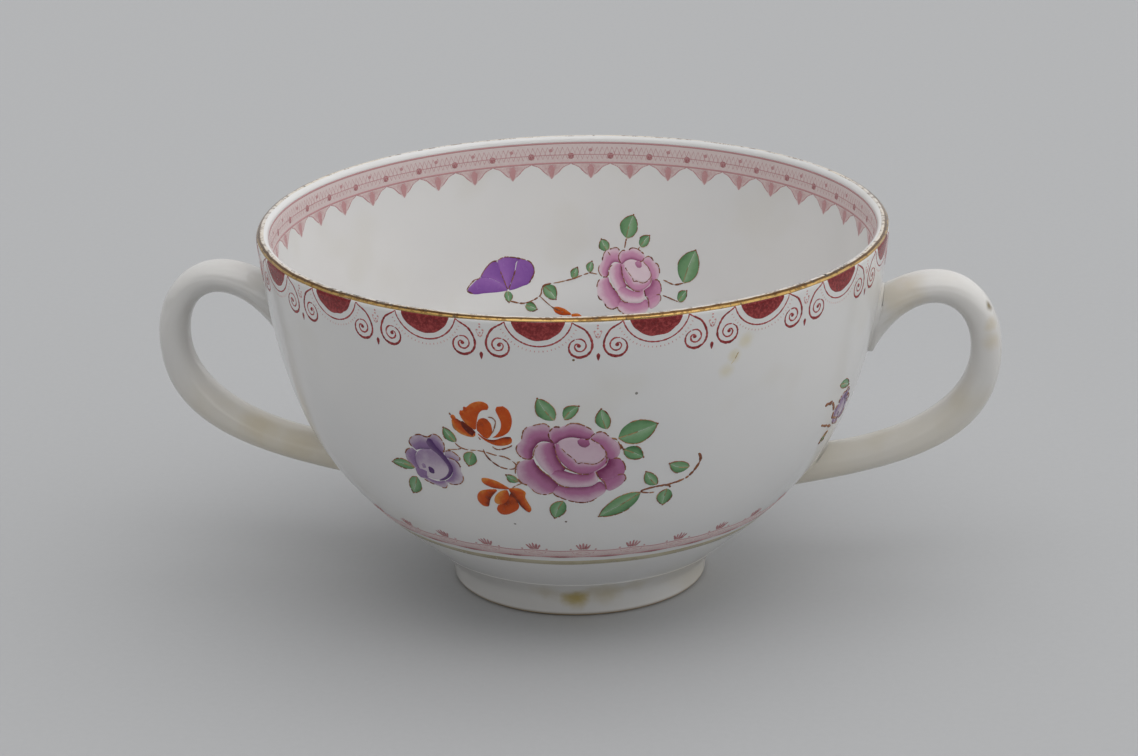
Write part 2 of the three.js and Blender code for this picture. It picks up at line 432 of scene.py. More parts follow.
foot_rings = revolved(foot_profile)
foot = make_piece(
    "foot_ring_body", foot_rings.reshape(-1, 3),
    skin_faces(len(foot_profile), AROUND, closed_rows=True), foot_material,
)
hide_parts("foot_ring")

# Handles
# Two cast loops of oval section, stuck on with slip. The upper seat runs down the wall
# in a short tail, the lower one meets it at a slant, and glaze fills the corners.
HANDLE_FAR = 66.5
HANDLE_THICKNESS = 4.8
HANDLE_START_HEIGHT = 48.3
HANDLE_FAR_DROP = 9.8
TAIL_LENGTH = 10.7
TAIL_TIP_THICKNESS = 0.9
ARM_SLOPE = math.radians(30)
LOWER_SEAT_HEIGHT = 15.1
LOWER_SEAT_LENGTH = 6.8
RETURN_SLOPE = math.radians(11.5)
ARM_FULLNESS, SHOULDER_FULLNESS, DROP_FULLNESS, RETURN_FULLNESS = 0.71, 0.93, 0.67, 0.58
ARM_INSET, SHOULDER_INSET = np.array([-1.35, -1.1]), np.array([-1.0, 0.0])
DROP_INSET, RETURN_INSET = np.array([-1.0, 1.2]), np.array([-0.8, 0.8])
HANDLE_WIDTH, UPPER_SEAT_WIDTH, LOWER_SEAT_WIDTH = 6.8, 8.2, 7.8
TAIL_NARROWING = 0.5
SEAT_BLEND = 0.35
SECTION_SQUARENESS = 2.3
ROOT_DEPTH = 1.0
FILLET_DEPTH = 0.5
UPPER_FILLET, LOWER_FILLET = 1.0, 1.1
SECTION_SIDES = 64
HANDLE_STEPS = 150


def wall_radius(height):
    return np.interp(height, outside.points[:, 1], outside.points[:, 0])


def smooth_step(value, low, high):
    share = np.clip((value - low) / (high - low), 0, 1)
    return share * share * (3 - 2 * share)


start = np.array([wall_radius(HANDLE_START_HEIGHT), HANDLE_START_HEIGHT])
end = np.array([wall_radius(LOWER_SEAT_HEIGHT), LOWER_SEAT_HEIGHT])
far = np.array([HANDLE_FAR, HANDLE_START_HEIGHT - HANDLE_FAR_DROP])
arm = start + ARM_FULLNESS * (far[0] - start[0]) * heading(ARM_SLOPE)
shoulder = far + [0, SHOULDER_FULLNESS * (start[1] - far[1])]
drop = far - [0, DROP_FULLNESS * (far[1] - end[1])]
back = end + RETURN_FULLNESS * (far[0] - end[0]) * heading(RETURN_SLOPE)
tip = np.array([wall_radius(start[1] - TAIL_LENGTH) + TAIL_TIP_THICKNESS, start[1] - TAIL_LENGTH])
seat_top = np.array([wall_radius(end[1] + LOWER_SEAT_LENGTH), end[1] + LOWER_SEAT_LENGTH])
near_far = far - [HANDLE_THICKNESS, 0]
outer_line = [
    [start, arm, shoulder, far],
    [far, drop, back, end],
]
arm_in = arm + HANDLE_THICKNESS * ARM_INSET
shoulder_in = shoulder + HANDLE_THICKNESS * SHOULDER_INSET
drop_in = drop + HANDLE_THICKNESS * DROP_INSET
back_in = back + HANDLE_THICKNESS * RETURN_INSET
inner_line = [
    [tip, arm_in, shoulder_in, near_far],
    [near_far, drop_in, back_in, seat_top],
]


def sweep(line, t):
    first, second = bezier(line[0], np.clip(2 * t, 0, 1)), bezier(line[1], np.clip(2 * t - 1, 0, 1))
    return np.where((t < 0.5)[:, None], first, second)


def handle_rings():
    """Ovals between the outer and the inner line of the loop, from seat to seat."""
    t = np.linspace(0, 1, HANDLE_STEPS + 1)
    outer, inner = sweep(outer_line, t), sweep(inner_line, t)
    width = (
        HANDLE_WIDTH
        + (UPPER_SEAT_WIDTH - HANDLE_WIDTH) * (1 - smooth_step(t, 0, SEAT_BLEND))
        + (LOWER_SEAT_WIDTH - HANDLE_WIDTH) * smooth_step(t, 1 - SEAT_BLEND, 1)
    )
    narrowing = TAIL_NARROWING * (1 - smooth_step(t, 0, SEAT_BLEND))
    angle = 2 * math.pi * np.arange(SECTION_SIDES) / SECTION_SIDES
    power = 2 / SECTION_SQUARENESS
    across = np.sign(np.cos(angle)) * np.abs(np.cos(angle)) ** power
    side = np.sign(np.sin(angle)) * np.abs(np.sin(angle)) ** power
    centre, half = (outer + inner) / 2, (outer - inner) / 2
    drawn_in = 1 - narrowing[:, None] * np.clip(-across, 0, None)
    xz = centre[:, None] + half[:, None] * across[:, None]
    y = side * drawn_in * width[:, None] / 2
    return np.stack([xz[..., 0], y, xz[..., 1]], -1)


def on_wall(points):
    """The same height and side, moved along X onto the wall."""
    radius = wall_radius(points[:, 2])
    x = np.sqrt(np.maximum(radius**2 - points[:, 1] ** 2, 1))
    return np.stack([x, points[:, 1], points[:, 2]], -1)


def glaze_fillet(seat, body, reach):
    """The glaze that fills the corner between a seat's outline and the wall, as a closed tube."""
    ahead = unit(np.roll(seat, -1, 0) - np.roll(seat, 1, 0))
    radius = np.hypot(seat[:, 0], seat[:, 1])
    place = np.interp(seat[:, 2], outside.points[:, 1], outside.lengths)
    _, _, nr, nz = outside.at(place)
    normal = np.stack([nr * seat[:, 0] / radius, nr * seat[:, 1] / radius, nz], -1)
    away = np.cross(ahead, normal)
    middle = seat.mean(0)
    away *= np.sign(((seat - middle) * away).sum(1))[:, None]
    up = unit(body - seat)
    on_the_wall, on_the_handle = on_wall(seat + away * reach), seat + up * reach
    t = np.linspace(0, 1, 9)[:, None, None]
    arc = (1 - t) ** 2 * on_the_wall + 2 * t * (1 - t) * seat + t**2 * on_the_handle
    return np.concatenate([arc, (seat - FILLET_DEPTH * normal)[None]])


def handle_solid():
    rings = handle_rings()
    top_root, low_root = on_wall(rings[0]), on_wall(rings[-1])
    into = np.array([ROOT_DEPTH, 0, 0])
    rings = np.concatenate([[top_root - into, top_root], rings, [low_root, low_root - into]])
    faces = capped_faces(len(rings), SECTION_SIDES)
    points = [rings.reshape(-1, 3)]
    # The glaze climbs from each seat towards a ring some way along the loop.
    corners = ((top_root, rings[14], UPPER_FILLET), (low_root, rings[-12], LOWER_FILLET))
    for seat, body, reach in corners:
        fillet = glaze_fillet(seat, body, reach)
        offset = sum(len(p) for p in points)
        points.append(fillet.reshape(-1, 3))
        tube = skin_faces(len(fillet), SECTION_SIDES, closed_rows=True)
        faces += [tuple(offset + i for i in face) for face in tube]
    return np.concatenate(points), faces


handle_material, tree, shader = porcelain_material(
    "handle_glaze", glaze=(212, 210, 206), dirt=(184, 170, 132), dirt_amount=0.4, speck_amount=0.5,
)
where = own_place(tree)
low_down = between(tree, axes_of(tree, where)["Z"], 0.036, 0.018)
stained_over(tree, shader, times(tree, low_down, noise(tree, where, 55, 2)), (216, 206, 182))
HANDLE_STAINS = [
    ((-50.5, -3.0, 25.0), 4.6, 0.3), ((-44.0, -3.0, 21.2), 4.2, 0.2), ((64.2, -2.0, 43.0), 1.8, 0.7),
    ((64.6, -2.5, 40.4), 2.2, 0.4), ((51.0, -2.0, 47.0), 5.0, 0.35),
]
stained_over(tree, shader, stains(tree, where, HANDLE_STAINS), (192, 172, 122))
CHIP = ((64.3, -1.6, 45.8), 1.25, 1.0)
stained_over(tree, shader, stains(tree, where, [CHIP]), (112, 96, 54))
handle_points, handle_faces = handle_solid()
for node, side in (("handle_right", 1), ("handle_left", -1)):
    turned = handle_points * [side, side, 1]
    handle = make_piece(f"{node}_body", turned, handle_faces, handle_material)
    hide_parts(node)

# Rim gilding
# A line of liquid gold brushed round the lip and fired: olive gold on the outer round, a
# brown line above it that is partly rubbed gold and partly a painted dark reflection, and
# over the crest only a thin ivory trace with dark specks.
CHART_RADIUS = 47.0
# A coat of colour stands FILM above the glaze and a LAYER more for each level, with its edge
# and its underside a little under the glaze. GRAIN is the distance between its points.
FILM = 0.018
LAYER = 0.004
EDGE = -0.01
UNDER = -0.05
GRAIN = 0.4
GILDING_START = 60.76
GILDING_END = 62.08
crayon = np.random.default_rng(7)
ROUND = 2 * math.pi * np.arange(AROUND) / AROUND

lip_turn = LIP_START + math.pi * np.arange(1, 60) / 60
lip_normals = np.stack([np.cos(lip_turn), np.sin(lip_turn)], -1)
over_lip = Profile(
    np.concatenate([outer_points, LIP_CENTRE + LIP_RADIUS * lip_normals]),
    np.concatenate([outer_normals, lip_normals]),
)


def chart(profile, facing, direction):
    """Places (distance round, distance up the wall, lift off it) on one side of the wall."""

    def place(flat, lift):
        r, z, nr, nz = profile.at(flat[..., 1])
        turn = facing + direction * flat[..., 0] / CHART_RADIUS
        reach = r + nr * lift
        return np.stack([reach * np.cos(turn), reach * np.sin(turn), z + nz * lift], -1)

    return place


def outer_chart(facing):
    return chart(over_lip, facing, 1)


def inner_chart(facing):
    return chart(inside, facing, -1)


def slab(top, bottom):
    """A closed thin body between two equal grids of points."""
    rows, columns = top.shape[:2]
    grid = np.arange(rows * columns).reshape(rows, columns)
    under = grid + rows * columns
    quads = []
    for sheet in (grid, under[:, ::-1]):
        cells = [sheet[:-1, :-1], sheet[1:, :-1], sheet[1:, 1:], sheet[:-1, 1:]]
        quads.append(np.stack(cells, -1).reshape(-1, 4))
    rim = np.concatenate([grid[0, :-1], grid[:-1, -1], grid[-1, :0:-1], grid[:0:-1, 0]])
    low = rim + rows * columns
    quads.append(np.stack([rim, np.roll(rim, -1), np.roll(low, -1), low], -1))
    return np.concatenate([top.reshape(-1, 3), bottom.reshape(-1, 3)]), np.concatenate(quads)


def through(points, count):
    """A smooth line through the points."""
    p = np.asarray(points, float)
    p = np.concatenate([[2 * p[0] - p[1]], p, [2 * p[-1] - p[-2]]])
    u = np.linspace(0, len(p) - 3 - 1e-9, count)
    i = u.astype(int)
    f = (u - i)[:, None]
    a, b, c, d = p[i], p[i + 1], p[i + 2], p[i + 3]
    square, cube = 2 * a - 5 * b + 4 * c - d, 3 * b - a - 3 * c + d
    return b + 0.5 * ((c - a) * f + square * f**2 + cube * f**3)


def length_of(line):
    return np.linalg.norm(np.diff(line, axis=0), axis=1).sum()


class Brushwork:
    """Films and strokes of fired colour, gathered into one piece and laid at a rising level."""

    def __init__(self, chart, start_level=0):
        self.chart, self.level = chart, start_level
        self.points, self.faces, self.tones, self.count = [], [], [], 0

    def keep(self, points, faces, tones):
        self.points.append(points)
        self.faces.append(np.asarray(faces) + self.count)
        self.tones += [np.ravel(tones)] * 2
        self.count += len(points)

    def lay(self, flat, tone):
        lift = np.full(flat.shape[:2], FILM + LAYER * self.level)
        lift[0] = lift[-1] = EDGE
        lift[:, 0] = lift[:, -1] = EDGE
        points, faces = slab(self.chart(flat, lift), self.chart(flat, UNDER + 0 * lift))
        self.keep(points, faces, np.broadcast_to(tone, flat.shape[:2]))

    def hoop(self, low, high, low_tone=0.5, high_tone=0.5, rows=3):
        """A band all round the cup between two levels, which may rise and fall on the way."""
        around = ROUND * CHART_RADIUS
        share = np.concatenate([[0], np.linspace(0.06, 0.94, rows), [1]])[:, None]
        level = low + (high - low) * share + 0 * around
        flat = np.stack([around + 0 * level, level], -1)
        lift = np.full(level.shape, FILM + LAYER * self.level)
        lift[0] = lift[-1] = EDGE
        tone = low_tone + (high_tone - low_tone) * share + 0 * around
        loop = np.concatenate([self.chart(flat, lift), self.chart(flat[::-1], UNDER + 0 * lift)])
        self.keep(loop.reshape(-1, 3), skin_faces(len(loop), AROUND, closed_rows=True), tone)
        self.tones[-1] = tone[::-1].ravel()

    def film(self, near, far, near_tone=0.0, far_tone=1.0, power=1.0, grain=GRAIN):
        """Fills the shape between two edges. The tone runs across it, from edge to edge."""
        near, far = np.asarray(near, float), np.asarray(far, float)
        rows = int(np.clip(max(length_of(near), length_of(far)) / GRAIN, 7, 70))
        near, far = through(near, rows), through(far, rows)
        width = np.linalg.norm(far - near, axis=1).max()
        rim = min(0.2, 0.06 / width)
        inner = np.linspace(rim, 1 - rim, int(np.clip(width / grain, 3, 20)) + 1)
        share = np.concatenate([[0], inner, [1]])
        flat = near[:, None] + (far - near)[:, None] * share[:, None]
        self.lay(flat, near_tone + (far_tone - near_tone) * share**power)

    def stroke(self, line, width, tone=0.6, taper=0.5, wobble=0.0, step=0.22):
        """A line of the pen, thinner towards its ends."""
        line = np.asarray(line, float)
        line = through(line, int(np.clip(length_of(line) / step, 6, 90)))
        ahead = np.gradient(line, axis=0)
        ahead /= np.linalg.norm(ahead, axis=1)[:, None] + 1e-9
        across = np.stack([-ahead[:, 1], ahead[:, 0]], -1)
        share = np.linspace(0, 1, len(line))
        press = 1 - taper * np.abs(2 * share - 1) ** 3
        press = press * (1 + wobble * crayon.uniform(-1, 1, len(line)))
        half = width / 2 * press[:, None] * across
        sides = [line + half * k for k in (-1, -0.55, 0.55, 1)]
        uneven = wobble * 0.5 * crayon.uniform(-1, 1, len(line))
        self.lay(np.stack(sides, 1), tone + uneven[:, None])

    def dry_line(self, line, width, tone=0.6, touch=1.1):
        """A line from a nearly dry pen: short touches that overlap, each of its own strength."""
        line = np.asarray(line, float)
        dense = through(line, int(np.clip(length_of(line) / 0.08, 8, 400)))
        run = np.concatenate([[0], np.cumsum(np.linalg.norm(np.diff(dense, axis=0), axis=1))])
        place = 0.0
        while place < run[-1] - 0.15:
            reach = touch * crayon.uniform(0.4, 1.5)
            part = dense[(run >= place) & (run <= place + reach)]
            if len(part) > 3:
                press = 0.25 * crayon.uniform(-1, 1)
                touched = part[:: max(len(part) // 6, 1)]
                self.stroke(touched, width * (1 + press), tone + press, taper=0.6, wobble=0.2)
            place += reach + crayon.uniform(-0.38, -0.06)

    def dot(self, centre, size, tone=0.8, tall=1.0):
        turn = np.linspace(0, math.pi, 6)
        half = np.stack([np.cos(turn), np.sin(turn) * tall], -1) * size / 2
        self.film(centre + half, centre + half * [1, -1], tone, tone)

    def finish(self, name, material, slot):
        tones = np.clip(np.concatenate(self.tones), 0, 1)
        faces = np.concatenate(self.faces).tolist()
        return make_piece(name, np.concatenate(self.points), faces, material, tones)


def within(tree, value, start, full, fading, gone):
    """0 below start, 1 from full to fading, and 0 again above gone."""
    return times(tree, between(tree, value, start, full), between(tree, value, gone, fading))


def own_tone(tree, unevenness):
    """The tone that the brush has given to the mesh, made a little uneven."""
    brushed = put(tree, "Attribute", attribute_name="tone").outputs["Fac"]
    return maths(tree, "ADD", brushed, unevenness)


# Fired gold: the "tone" of the brush is the place across the band, from the lower edge up.
tree, given, result = new_group(
    "worn_gilding",
    {"Gold": (0.5, 0.4, 0.2, 1), "Brown": (0.1, 0.06, 0.02, 1), "Trace": (0.7, 0.65, 0.6, 1),
     "Dirt": (0.05, 0.04, 0.03, 1), "Wear": 0.5},
    {"Color": "Color", "Roughness": "Float", "Metallic": "Float", "Height": "Float"},
)
BRUSHED_TINT, IVORY_TINT = (0.8, 0.78, 0.68, 1), (1.0, 0.95, 0.86, 1)
where = own_place(tree)
patches, grit = noise(tree, where, 160, 3, 0.6), noise(tree, where, 1300, 3, 0.7)
waver = maths(tree, "SUBTRACT", noise(tree, where, 420, 2), 0.5)
place = own_tone(tree, times(tree, waver, 0.2))
# A brown band across the lip where the gold would mirror the dark front of the room: partly rubbed gold,
# partly a painted dark reflection.
worn_line_and_dark_reflection = within(tree, place, 0.26, 0.36, 0.52, 0.66)
trace = between(tree, place, 0.55, 0.68)
pits = between(tree, noise(tree, where, 800, 3, 0.7), 0.5, 0.6)
# Fingers have rubbed the front of the rim at the left and at the right.
axes = axes_of(tree, where)
left_rub = within(tree, axes["X"], -0.034, -0.030, -0.019, -0.015)
right_rub = within(tree, axes["X"], 0.034, 0.037, 0.042, 0.0445)
rubbed = times(tree, strongest(tree, left_rub, right_rub), between(tree, axes["Y"], 0.0, -0.01))
pocked = times(tree, between(tree, grit, 0.5, 0.6), rubbed, between(tree, place, 0.3, 0.45))
scuffs = times(tree, between(tree, grit, 0.56, 0.66), between(tree, patches, 0.42, 0.6))
worn = strongest(tree, times(tree, scuffs, given["Wear"]), pocked)
brushed = blended(tree, between(tree, patches, 0.3, 0.7), given["Gold"], BRUSHED_TINT, "MULTIPLY")
lined = blended(tree, times(tree, worn_line_and_dark_reflection, 0.85), brushed, given["Brown"])
faint = blended(tree, between(tree, patches, 0.35, 0.65), given["Trace"], IVORY_TINT, "MULTIPLY")
pitted = times(tree, pits, between(tree, place, 0.08, 0.16), given["Wear"], 0.6)
brown_over = blended(tree, pitted, blended(tree, trace, lined, faint), given["Brown"])
feed(tree, result["Color"], blended(tree, worn, brown_over, given["Dirt"]))
feed(tree, result["Roughness"], scaled(tree, patches, 0.16, scaled(tree, worn, 0.3, 0.1)))
feed(tree, result["Metallic"], scaled(tree, strongest(tree, trace, worn), -0.85, 0.95))
feed(tree, result["Height"], maths(tree, "SUBTRACT", grit, worn))
gilding_group = tree


def gilding(name, gold, wear, thin=False):
    """Thin gilding has fired dull, so it shines like the glaze under it."""
    material, tree, shader, look = coated(
        name, gilding_group, relief=0.4, relief_height=0.00003, Gold=screen_colour(*gold),
        Brown=screen_colour(78, 46, 20), Trace=screen_colour(218, 212, 204),
        Dirt=screen_colour(58, 50, 38), Wear=wear,
    )
    feed(tree, shader["Metallic"], 0.2 if thin else look["Metallic"])
    return material


rim_line = Brushwork(outer_chart(0), 3)
lower_wave = 0.05 * np.sin(3 * ROUND + 1) + 0.04 * np.sin(11 * ROUND) + 0.02 * np.sin(29 * ROUND + 2)
upper_wave = 0.06 * np.sin(5 * ROUND) + 0.04 * np.sin(23 * ROUND + 1)
rim_line.hoop(GILDING_START + lower_wave, GILDING_END + upper_wave, low_tone=0.0, high_tone=1.0, rows=26)
rim_line.finish("rim_gilding", gilding("rim_gold", (186, 154, 98), wear=1.0), "gilding")

# Printed border under the rim
# A crimson print fired on the glaze: eighteen filled half discs with lines round them,
# and between them pairs of scrolls with a drop. It is under half a tenth of a millimetre thick.
SCROLLS = 18
SCROLL_PHASE = math.radians(0.7)
SCROLL_PITCH = 2 * math.pi * CHART_RADIUS / SCROLLS
SCROLL_LEVEL = 57.1
SCROLL_OFFSET = 2.65
LUNETTE_LEVEL = 61.9
LUNETTE_RADIUS = 3.95
LUNETTE_LINE_RADIUS = 4.85
LUNETTE_DOTS_RADIUS = 5.65
DOTS_TOP = 59.6
PRINT_TOP = 60.85
ARC_POINTS = 15

# Enamel or print on the glaze: deeper where the "tone" of the brush is, with streaks.
tree, given, result = new_group(
    "brushed_colour",
    {"Pale": (0.6, 0.6, 0.6, 1), "Middle": (0.3, 0.2, 0.2, 1), "Deep": (0.1, 0.05, 0.05, 1),
     "Streaks": 0.15, "Streak scale": 900.0},
    {"Color": "Color", "Roughness": "Float", "Height": "Float"},
)
streaks = noise(tree, own_place(tree), given["Streak scale"], 3, 0.6)
tone = own_tone(tree, times(tree, maths(tree, "SUBTRACT", streaks, 0.5), given["Streaks"]))
paler = blended(tree, between(tree, tone, 0.0, 0.5), given["Pale"], given["Middle"])
feed(tree, result["Color"], blended(tree, between(tree, tone, 0.5, 1.0), paler, given["Deep"]))
feed(tree, result["Roughness"], scaled(tree, streaks, 0.12, 0.2))
feed(tree, result["Height"], scaled(tree, tone, 0.5, streaks))
wash_group = tree


def enamel(name, pale, middle, deep, streaks, scale):
    """A colour at three strengths, with streaks of a strength and a fineness."""
    material, _, shader, _ = coated(
        name, wash_group, relief=0.3, relief_height=0.00002, Pale=screen_colour(*pale),
        Middle=screen_colour(*middle), Deep=screen_colour(*deep), Streaks=streaks, Streak_scale=scale,
    )
    shader["Specular IOR Level"].default_value = 0.28
    return material


# One scroll, from the middle dot outwards and up to the gilding, about its own middle.
scroll_line = [
    (0.15, 0.25), (-0.35, 0.3), (-0.6, -0.15), (-0.3, -0.75), (0.4, -0.85), (0.95, -0.25), (0.9, 0.5),
    (0.35, 1.05), (-0.5, 1.05), (-1.15, 0.5), (-1.4, -0.3), (-1.2, -1.1), (-0.55, -1.7), (0.25, -1.85),
    (1.1, -1.5), (1.7, -0.7), (1.85, 0.3), (1.55, 1.4), (0.95, 2.4), (0.2, 2.95), (-0.4, 3.3),
    (-0.85, 3.65),
]
inner_turns, outer_turn = scroll_line[:9], scroll_line[8:]
swell = [(-0.95, -1.35), (-0.3, -1.75), (0.5, -1.72), (1.2, -1.3)]
drop_left = [(0, 55.95), (-0.28, 55.5), (-0.1, 54.8), (0.02, 54.65)]
drop_right = [(0, 55.95), (0.3, 55.6), (0.22, 55.1), (0.02, 54.65)]
bud_dots = [(-0.42, 59.3), (0.42, 59.3), (0, 59.75), (0, 58.85), (-0.2, 58.45), (0.2, 58.45), (0, 60.2)]
bud_line = [(-0.6, 59.4), (-0.35, 58.7), (0, 58.2), (0.35, 58.7), (0.6, 59.4)]


def moved(line, scale, shift):
    return np.array(line, float) * scale + shift


def arc_round(centre, radius, top, count=ARC_POINTS):
    """The lower part of a circle, up to the level where the border ends."""
    reach = math.acos((centre[1] - top) / radius)
    turn = np.linspace(-reach, reach, count)
    return np.stack([centre[0] + radius * np.sin(turn), centre[1] - radius * np.cos(turn)], -1)


print_work = Brushwork(outer_chart(SCROLL_PHASE))
for repeat in range(SCROLLS):
    middle = repeat * SCROLL_PITCH
    for side in (-1, 1):
        centre = np.array([middle + side * SCROLL_OFFSET, SCROLL_LEVEL])
        flip = (-side, 1)
        print_work.stroke(moved(inner_turns, flip, centre), 0.28, 0.55, taper=0.3, wobble=0.3)
        print_work.stroke(moved(outer_turn, flip, centre), 0.38, 0.7, taper=0.55, wobble=0.25)
        print_work.stroke(moved(swell, flip, centre), 0.46, 0.8, taper=0.8, wobble=0.15)
        print_work.dot(centre, 0.6, 0.75)
    here = (middle, 0)
    print_work.film(moved(drop_left, 1, here), moved(drop_right, 1, here), 0.8, 0.8)
    for dot in moved(bud_dots, 1, here):
        print_work.dot(dot, 0.32, 0.15)
    print_work.stroke(moved(bud_line, 1, here), 0.12, 0.15, taper=0.3, wobble=0.4)

    lunette = np.array([middle + SCROLL_PITCH / 2, LUNETTE_LEVEL])
    bow = arc_round(lunette, LUNETTE_RADIUS, PRINT_TOP)
    bow[1:-1, 1] += crayon.uniform(-0.08, 0.08, ARC_POINTS - 2)
    chord = np.stack([bow[:, 0], np.full(ARC_POINTS, PRINT_TOP)], -1)
    print_work.film(bow, chord, 0.7, 0.9, grain=0.15)
    print_work.stroke(arc_round(lunette, LUNETTE_LINE_RADIUS, PRINT_TOP), 0.26, 0.6, taper=0.2, wobble=0.3)
    for centre in arc_round(lunette, LUNETTE_DOTS_RADIUS, DOTS_TOP, 23):
        out = (centre - lunette) / LUNETTE_DOTS_RADIUS * 0.16
        print_work.stroke([centre - out, centre + out], 0.14, 0.12, taper=0.3)
crimson = enamel("crimson_print", (210, 166, 162), (164, 68, 68), (112, 30, 33), 1.2, 2300)
print_work.finish("outer_border_print", crimson, "border_print")

# Printed border inside the lip
# The same crimson, in finer lines on a pale ground: a trellis band between thin rules,
# with a scalloped lower edge of small pendants. In the photograph it is out of focus.
PENDANTS = 44
PENDANT_PHASE = math.radians(101.0)
PENDANT_PITCH = 2 * math.pi * CHART_RADIUS / PENDANTS
BAND_TOP, BAND_BOTTOM = 78.5, 75.1
PENDANT_TOP, PENDANT_TIP = 75.0, 72.3
TRELLIS_CROSSINGS, TRELLIS_LEAN = 8, 1.4
FLOWER_LEVEL, DOT_LEVEL, MIDDLE_RULE = 76.3, 77.3, 76.5

rose_print = enamel("rose_print", (212, 198, 196), (188, 142, 143), (144, 76, 80), 0.5, 2600)
lace = Brushwork(inner_chart(PENDANT_PHASE))
lace.hoop(BAND_BOTTOM, BAND_TOP, 0.1, 0.04)
lace.level = 1
half = PENDANT_PITCH / 2
top, point = (0, PENDANT_TOP), (0, PENDANT_TIP)
for repeat in range(PENDANTS):
    middle = repeat * PENDANT_PITCH
    here = (middle, 0)
    for k in range(TRELLIS_CROSSINGS):
        left = middle - half + k * PENDANT_PITCH / TRELLIS_CROSSINGS
        right = left + TRELLIS_LEAN
        for start, stop in ((left, right), (right, left)):
            bar = [(start, BAND_BOTTOM), (stop, BAND_TOP)]
            lace.stroke(bar, 0.14, 0.4, taper=0, wobble=0.3, step=0.6)
    lace.dot(np.array([middle + half, FLOWER_LEVEL]), 1.2, 0.75)
    lace.dot(np.array([middle, DOT_LEVEL]), 0.7, 0.5)
    for side in (-1, 1):
        scallop = [(half, PENDANT_TOP), (half * 0.62, 74.5), (half * 0.35, 73.6), (0.3, 72.9)]
        inner_edge = [top, (0.5, 74.3), (0.2, 73.2), point]
        outer_edge = [top, (half * 0.9, PENDANT_TOP), (half * 0.5, 74.2), point]
        lace.stroke(moved(scallop, (side, 1), here), 0.3, 0.5, taper=0.3, wobble=0.2, step=0.3)
        lace.film(moved(inner_edge, (side, 1), here), moved(outer_edge, (side, 1), here), 0.3, 0.05)
    heart = np.array([top, (0.62, 74.2), (0.4, 73.1), point])
    lace.film(moved(heart, (-1, 1), here), moved(heart, 1, here), 0.4, 0.55)
lace.level = 2
for level, width in ((BAND_TOP, 0.3), (BAND_TOP + 0.45, 0.14), (BAND_BOTTOM, 0.32), (MIDDLE_RULE, 0.14)):
    lace.hoop(level - width / 2, level + width / 2, rows=2)
lace.finish("inner_border_print", rose_print, "border_print")

# Border above the foot
# Thirty small crowns over a waved band in the same pale crimson, and under them one
# brushed line of thin gold that has fired to a dull olive.
CROWNS = 30
CROWN_PHASE = math.radians(1.7)
CROWN_PITCH = 2 * math.pi * CHART_RADIUS / CROWNS
LEAF_LEVEL = 15.8
GOLD_LINE_BOTTOM, GOLD_LINE_TOP = 11.5, 13.1

crown_wave = np.cos(CROWNS * ROUND)
rise_and_fall = 0.12 * crown_wave
crown_work = Brushwork(outer_chart(CROWN_PHASE))
crown_work.hoop(14.7 - 0.1 * crown_wave, 16.75 + rise_and_fall, low_tone=0.2, high_tone=0.08)
crown_work.level = 1
crown_work.hoop(16.6 + rise_and_fall, 16.85 + rise_and_fall)
base_tones = (0.62 - 0.25 * crown_wave, 0.5 - 0.2 * crown_wave)
crown_work.hoop(14.3 + rise_and_fall, 14.85 - 0.05 * crown_wave, *base_tones)
for repeat in range(CROWNS):
    middle = repeat * CROWN_PITCH
    here = (middle, 0)
    for k in range(-2, 3):
        prong = [(0.28 * k, 17.05), (0.5 * k, 17.9), (0.72 * k, 19.35 - 0.3 * abs(k))]
        crown_work.stroke(moved(prong, 1, here), 0.5, 0.72, taper=0.7, wobble=0.25)
    for side in (-1, 1):
        for rise in (-1, 1):
            leaf = [(1.7, LEAF_LEVEL), (0.9, LEAF_LEVEL + rise * 0.32), (0, LEAF_LEVEL + rise * 0.6)]
            crown_work.stroke(moved(leaf, (side, 1), here), 0.2, 0.45, taper=0.3, wobble=0.25)
        tendril = [(1.75, LEAF_LEVEL), (2.1, 16.1), (2.3, 16.6)]
        crown_work.stroke(moved(tendril, (side, 1), here), 0.24, 0.5, taper=0.4, wobble=0.25)
        crown_work.dot(np.array([middle + side * 2.5, 17.2]), 0.5, 0.45)
crown_work.finish("base_border_print", rose_print, "border_print")

gold_line = Brushwork(outer_chart(0))
line_wave = 0.1 * np.sin(5 * ROUND) + 0.06 * np.sin(14 * ROUND + 1)
gold_line.hoop(GOLD_LINE_BOTTOM + line_wave, GOLD_LINE_TOP + 0.7 * line_wave, low_tone=0, high_tone=0)
thin_gold = gilding("thin_gold_line", (192, 184, 158), wear=0.5, thin=True)
gold_line.finish("base_gold_line", thin_gold, "gilding")

# Painted sprays
# Enamel colours by hand over the glaze: a mauve rose, a violet, two orange flowers and
# their leaves, each washed in from pale to deep and then drawn round with a dry brown pen.
FACING = math.radians(-83)
PEN_WIDTH = 0.23

mauve = enamel("mauve_enamel", (204, 180, 192), (170, 108, 146), (118, 42, 86), 0.3, 700)
violet = enamel("violet_enamel", (196, 184, 194), (136, 108, 148), (80, 48, 100), 0.35, 700)
pale_mauve = enamel("pale_mauve_enamel", (224, 204, 212), (200, 142, 174), (156, 82, 124), 0.3, 700)
purple = enamel("purple_enamel", (180, 142, 198), (152, 102, 178), (126, 74, 156), 0.3, 700)
orange = enamel("orange_enamel", (208, 134, 58), (188, 74, 10), (96, 24, 6), 0.85, 900)
leaf_green = enamel("leaf_enamel", (150, 178, 146), (108, 150, 106), (64, 106, 66), 0.45, 800)
brown_pen = enamel("brown_pen", (184, 146, 100), (142, 92, 62), (94, 44, 34), 0.9, 2200)

OUTER_COLOURS = {"rose": mauve, "violet": violet, "orange_flowers": orange}
INNER_COLOURS = {"rose": pale_mauve, "violet": purple, "orange_flowers": orange}

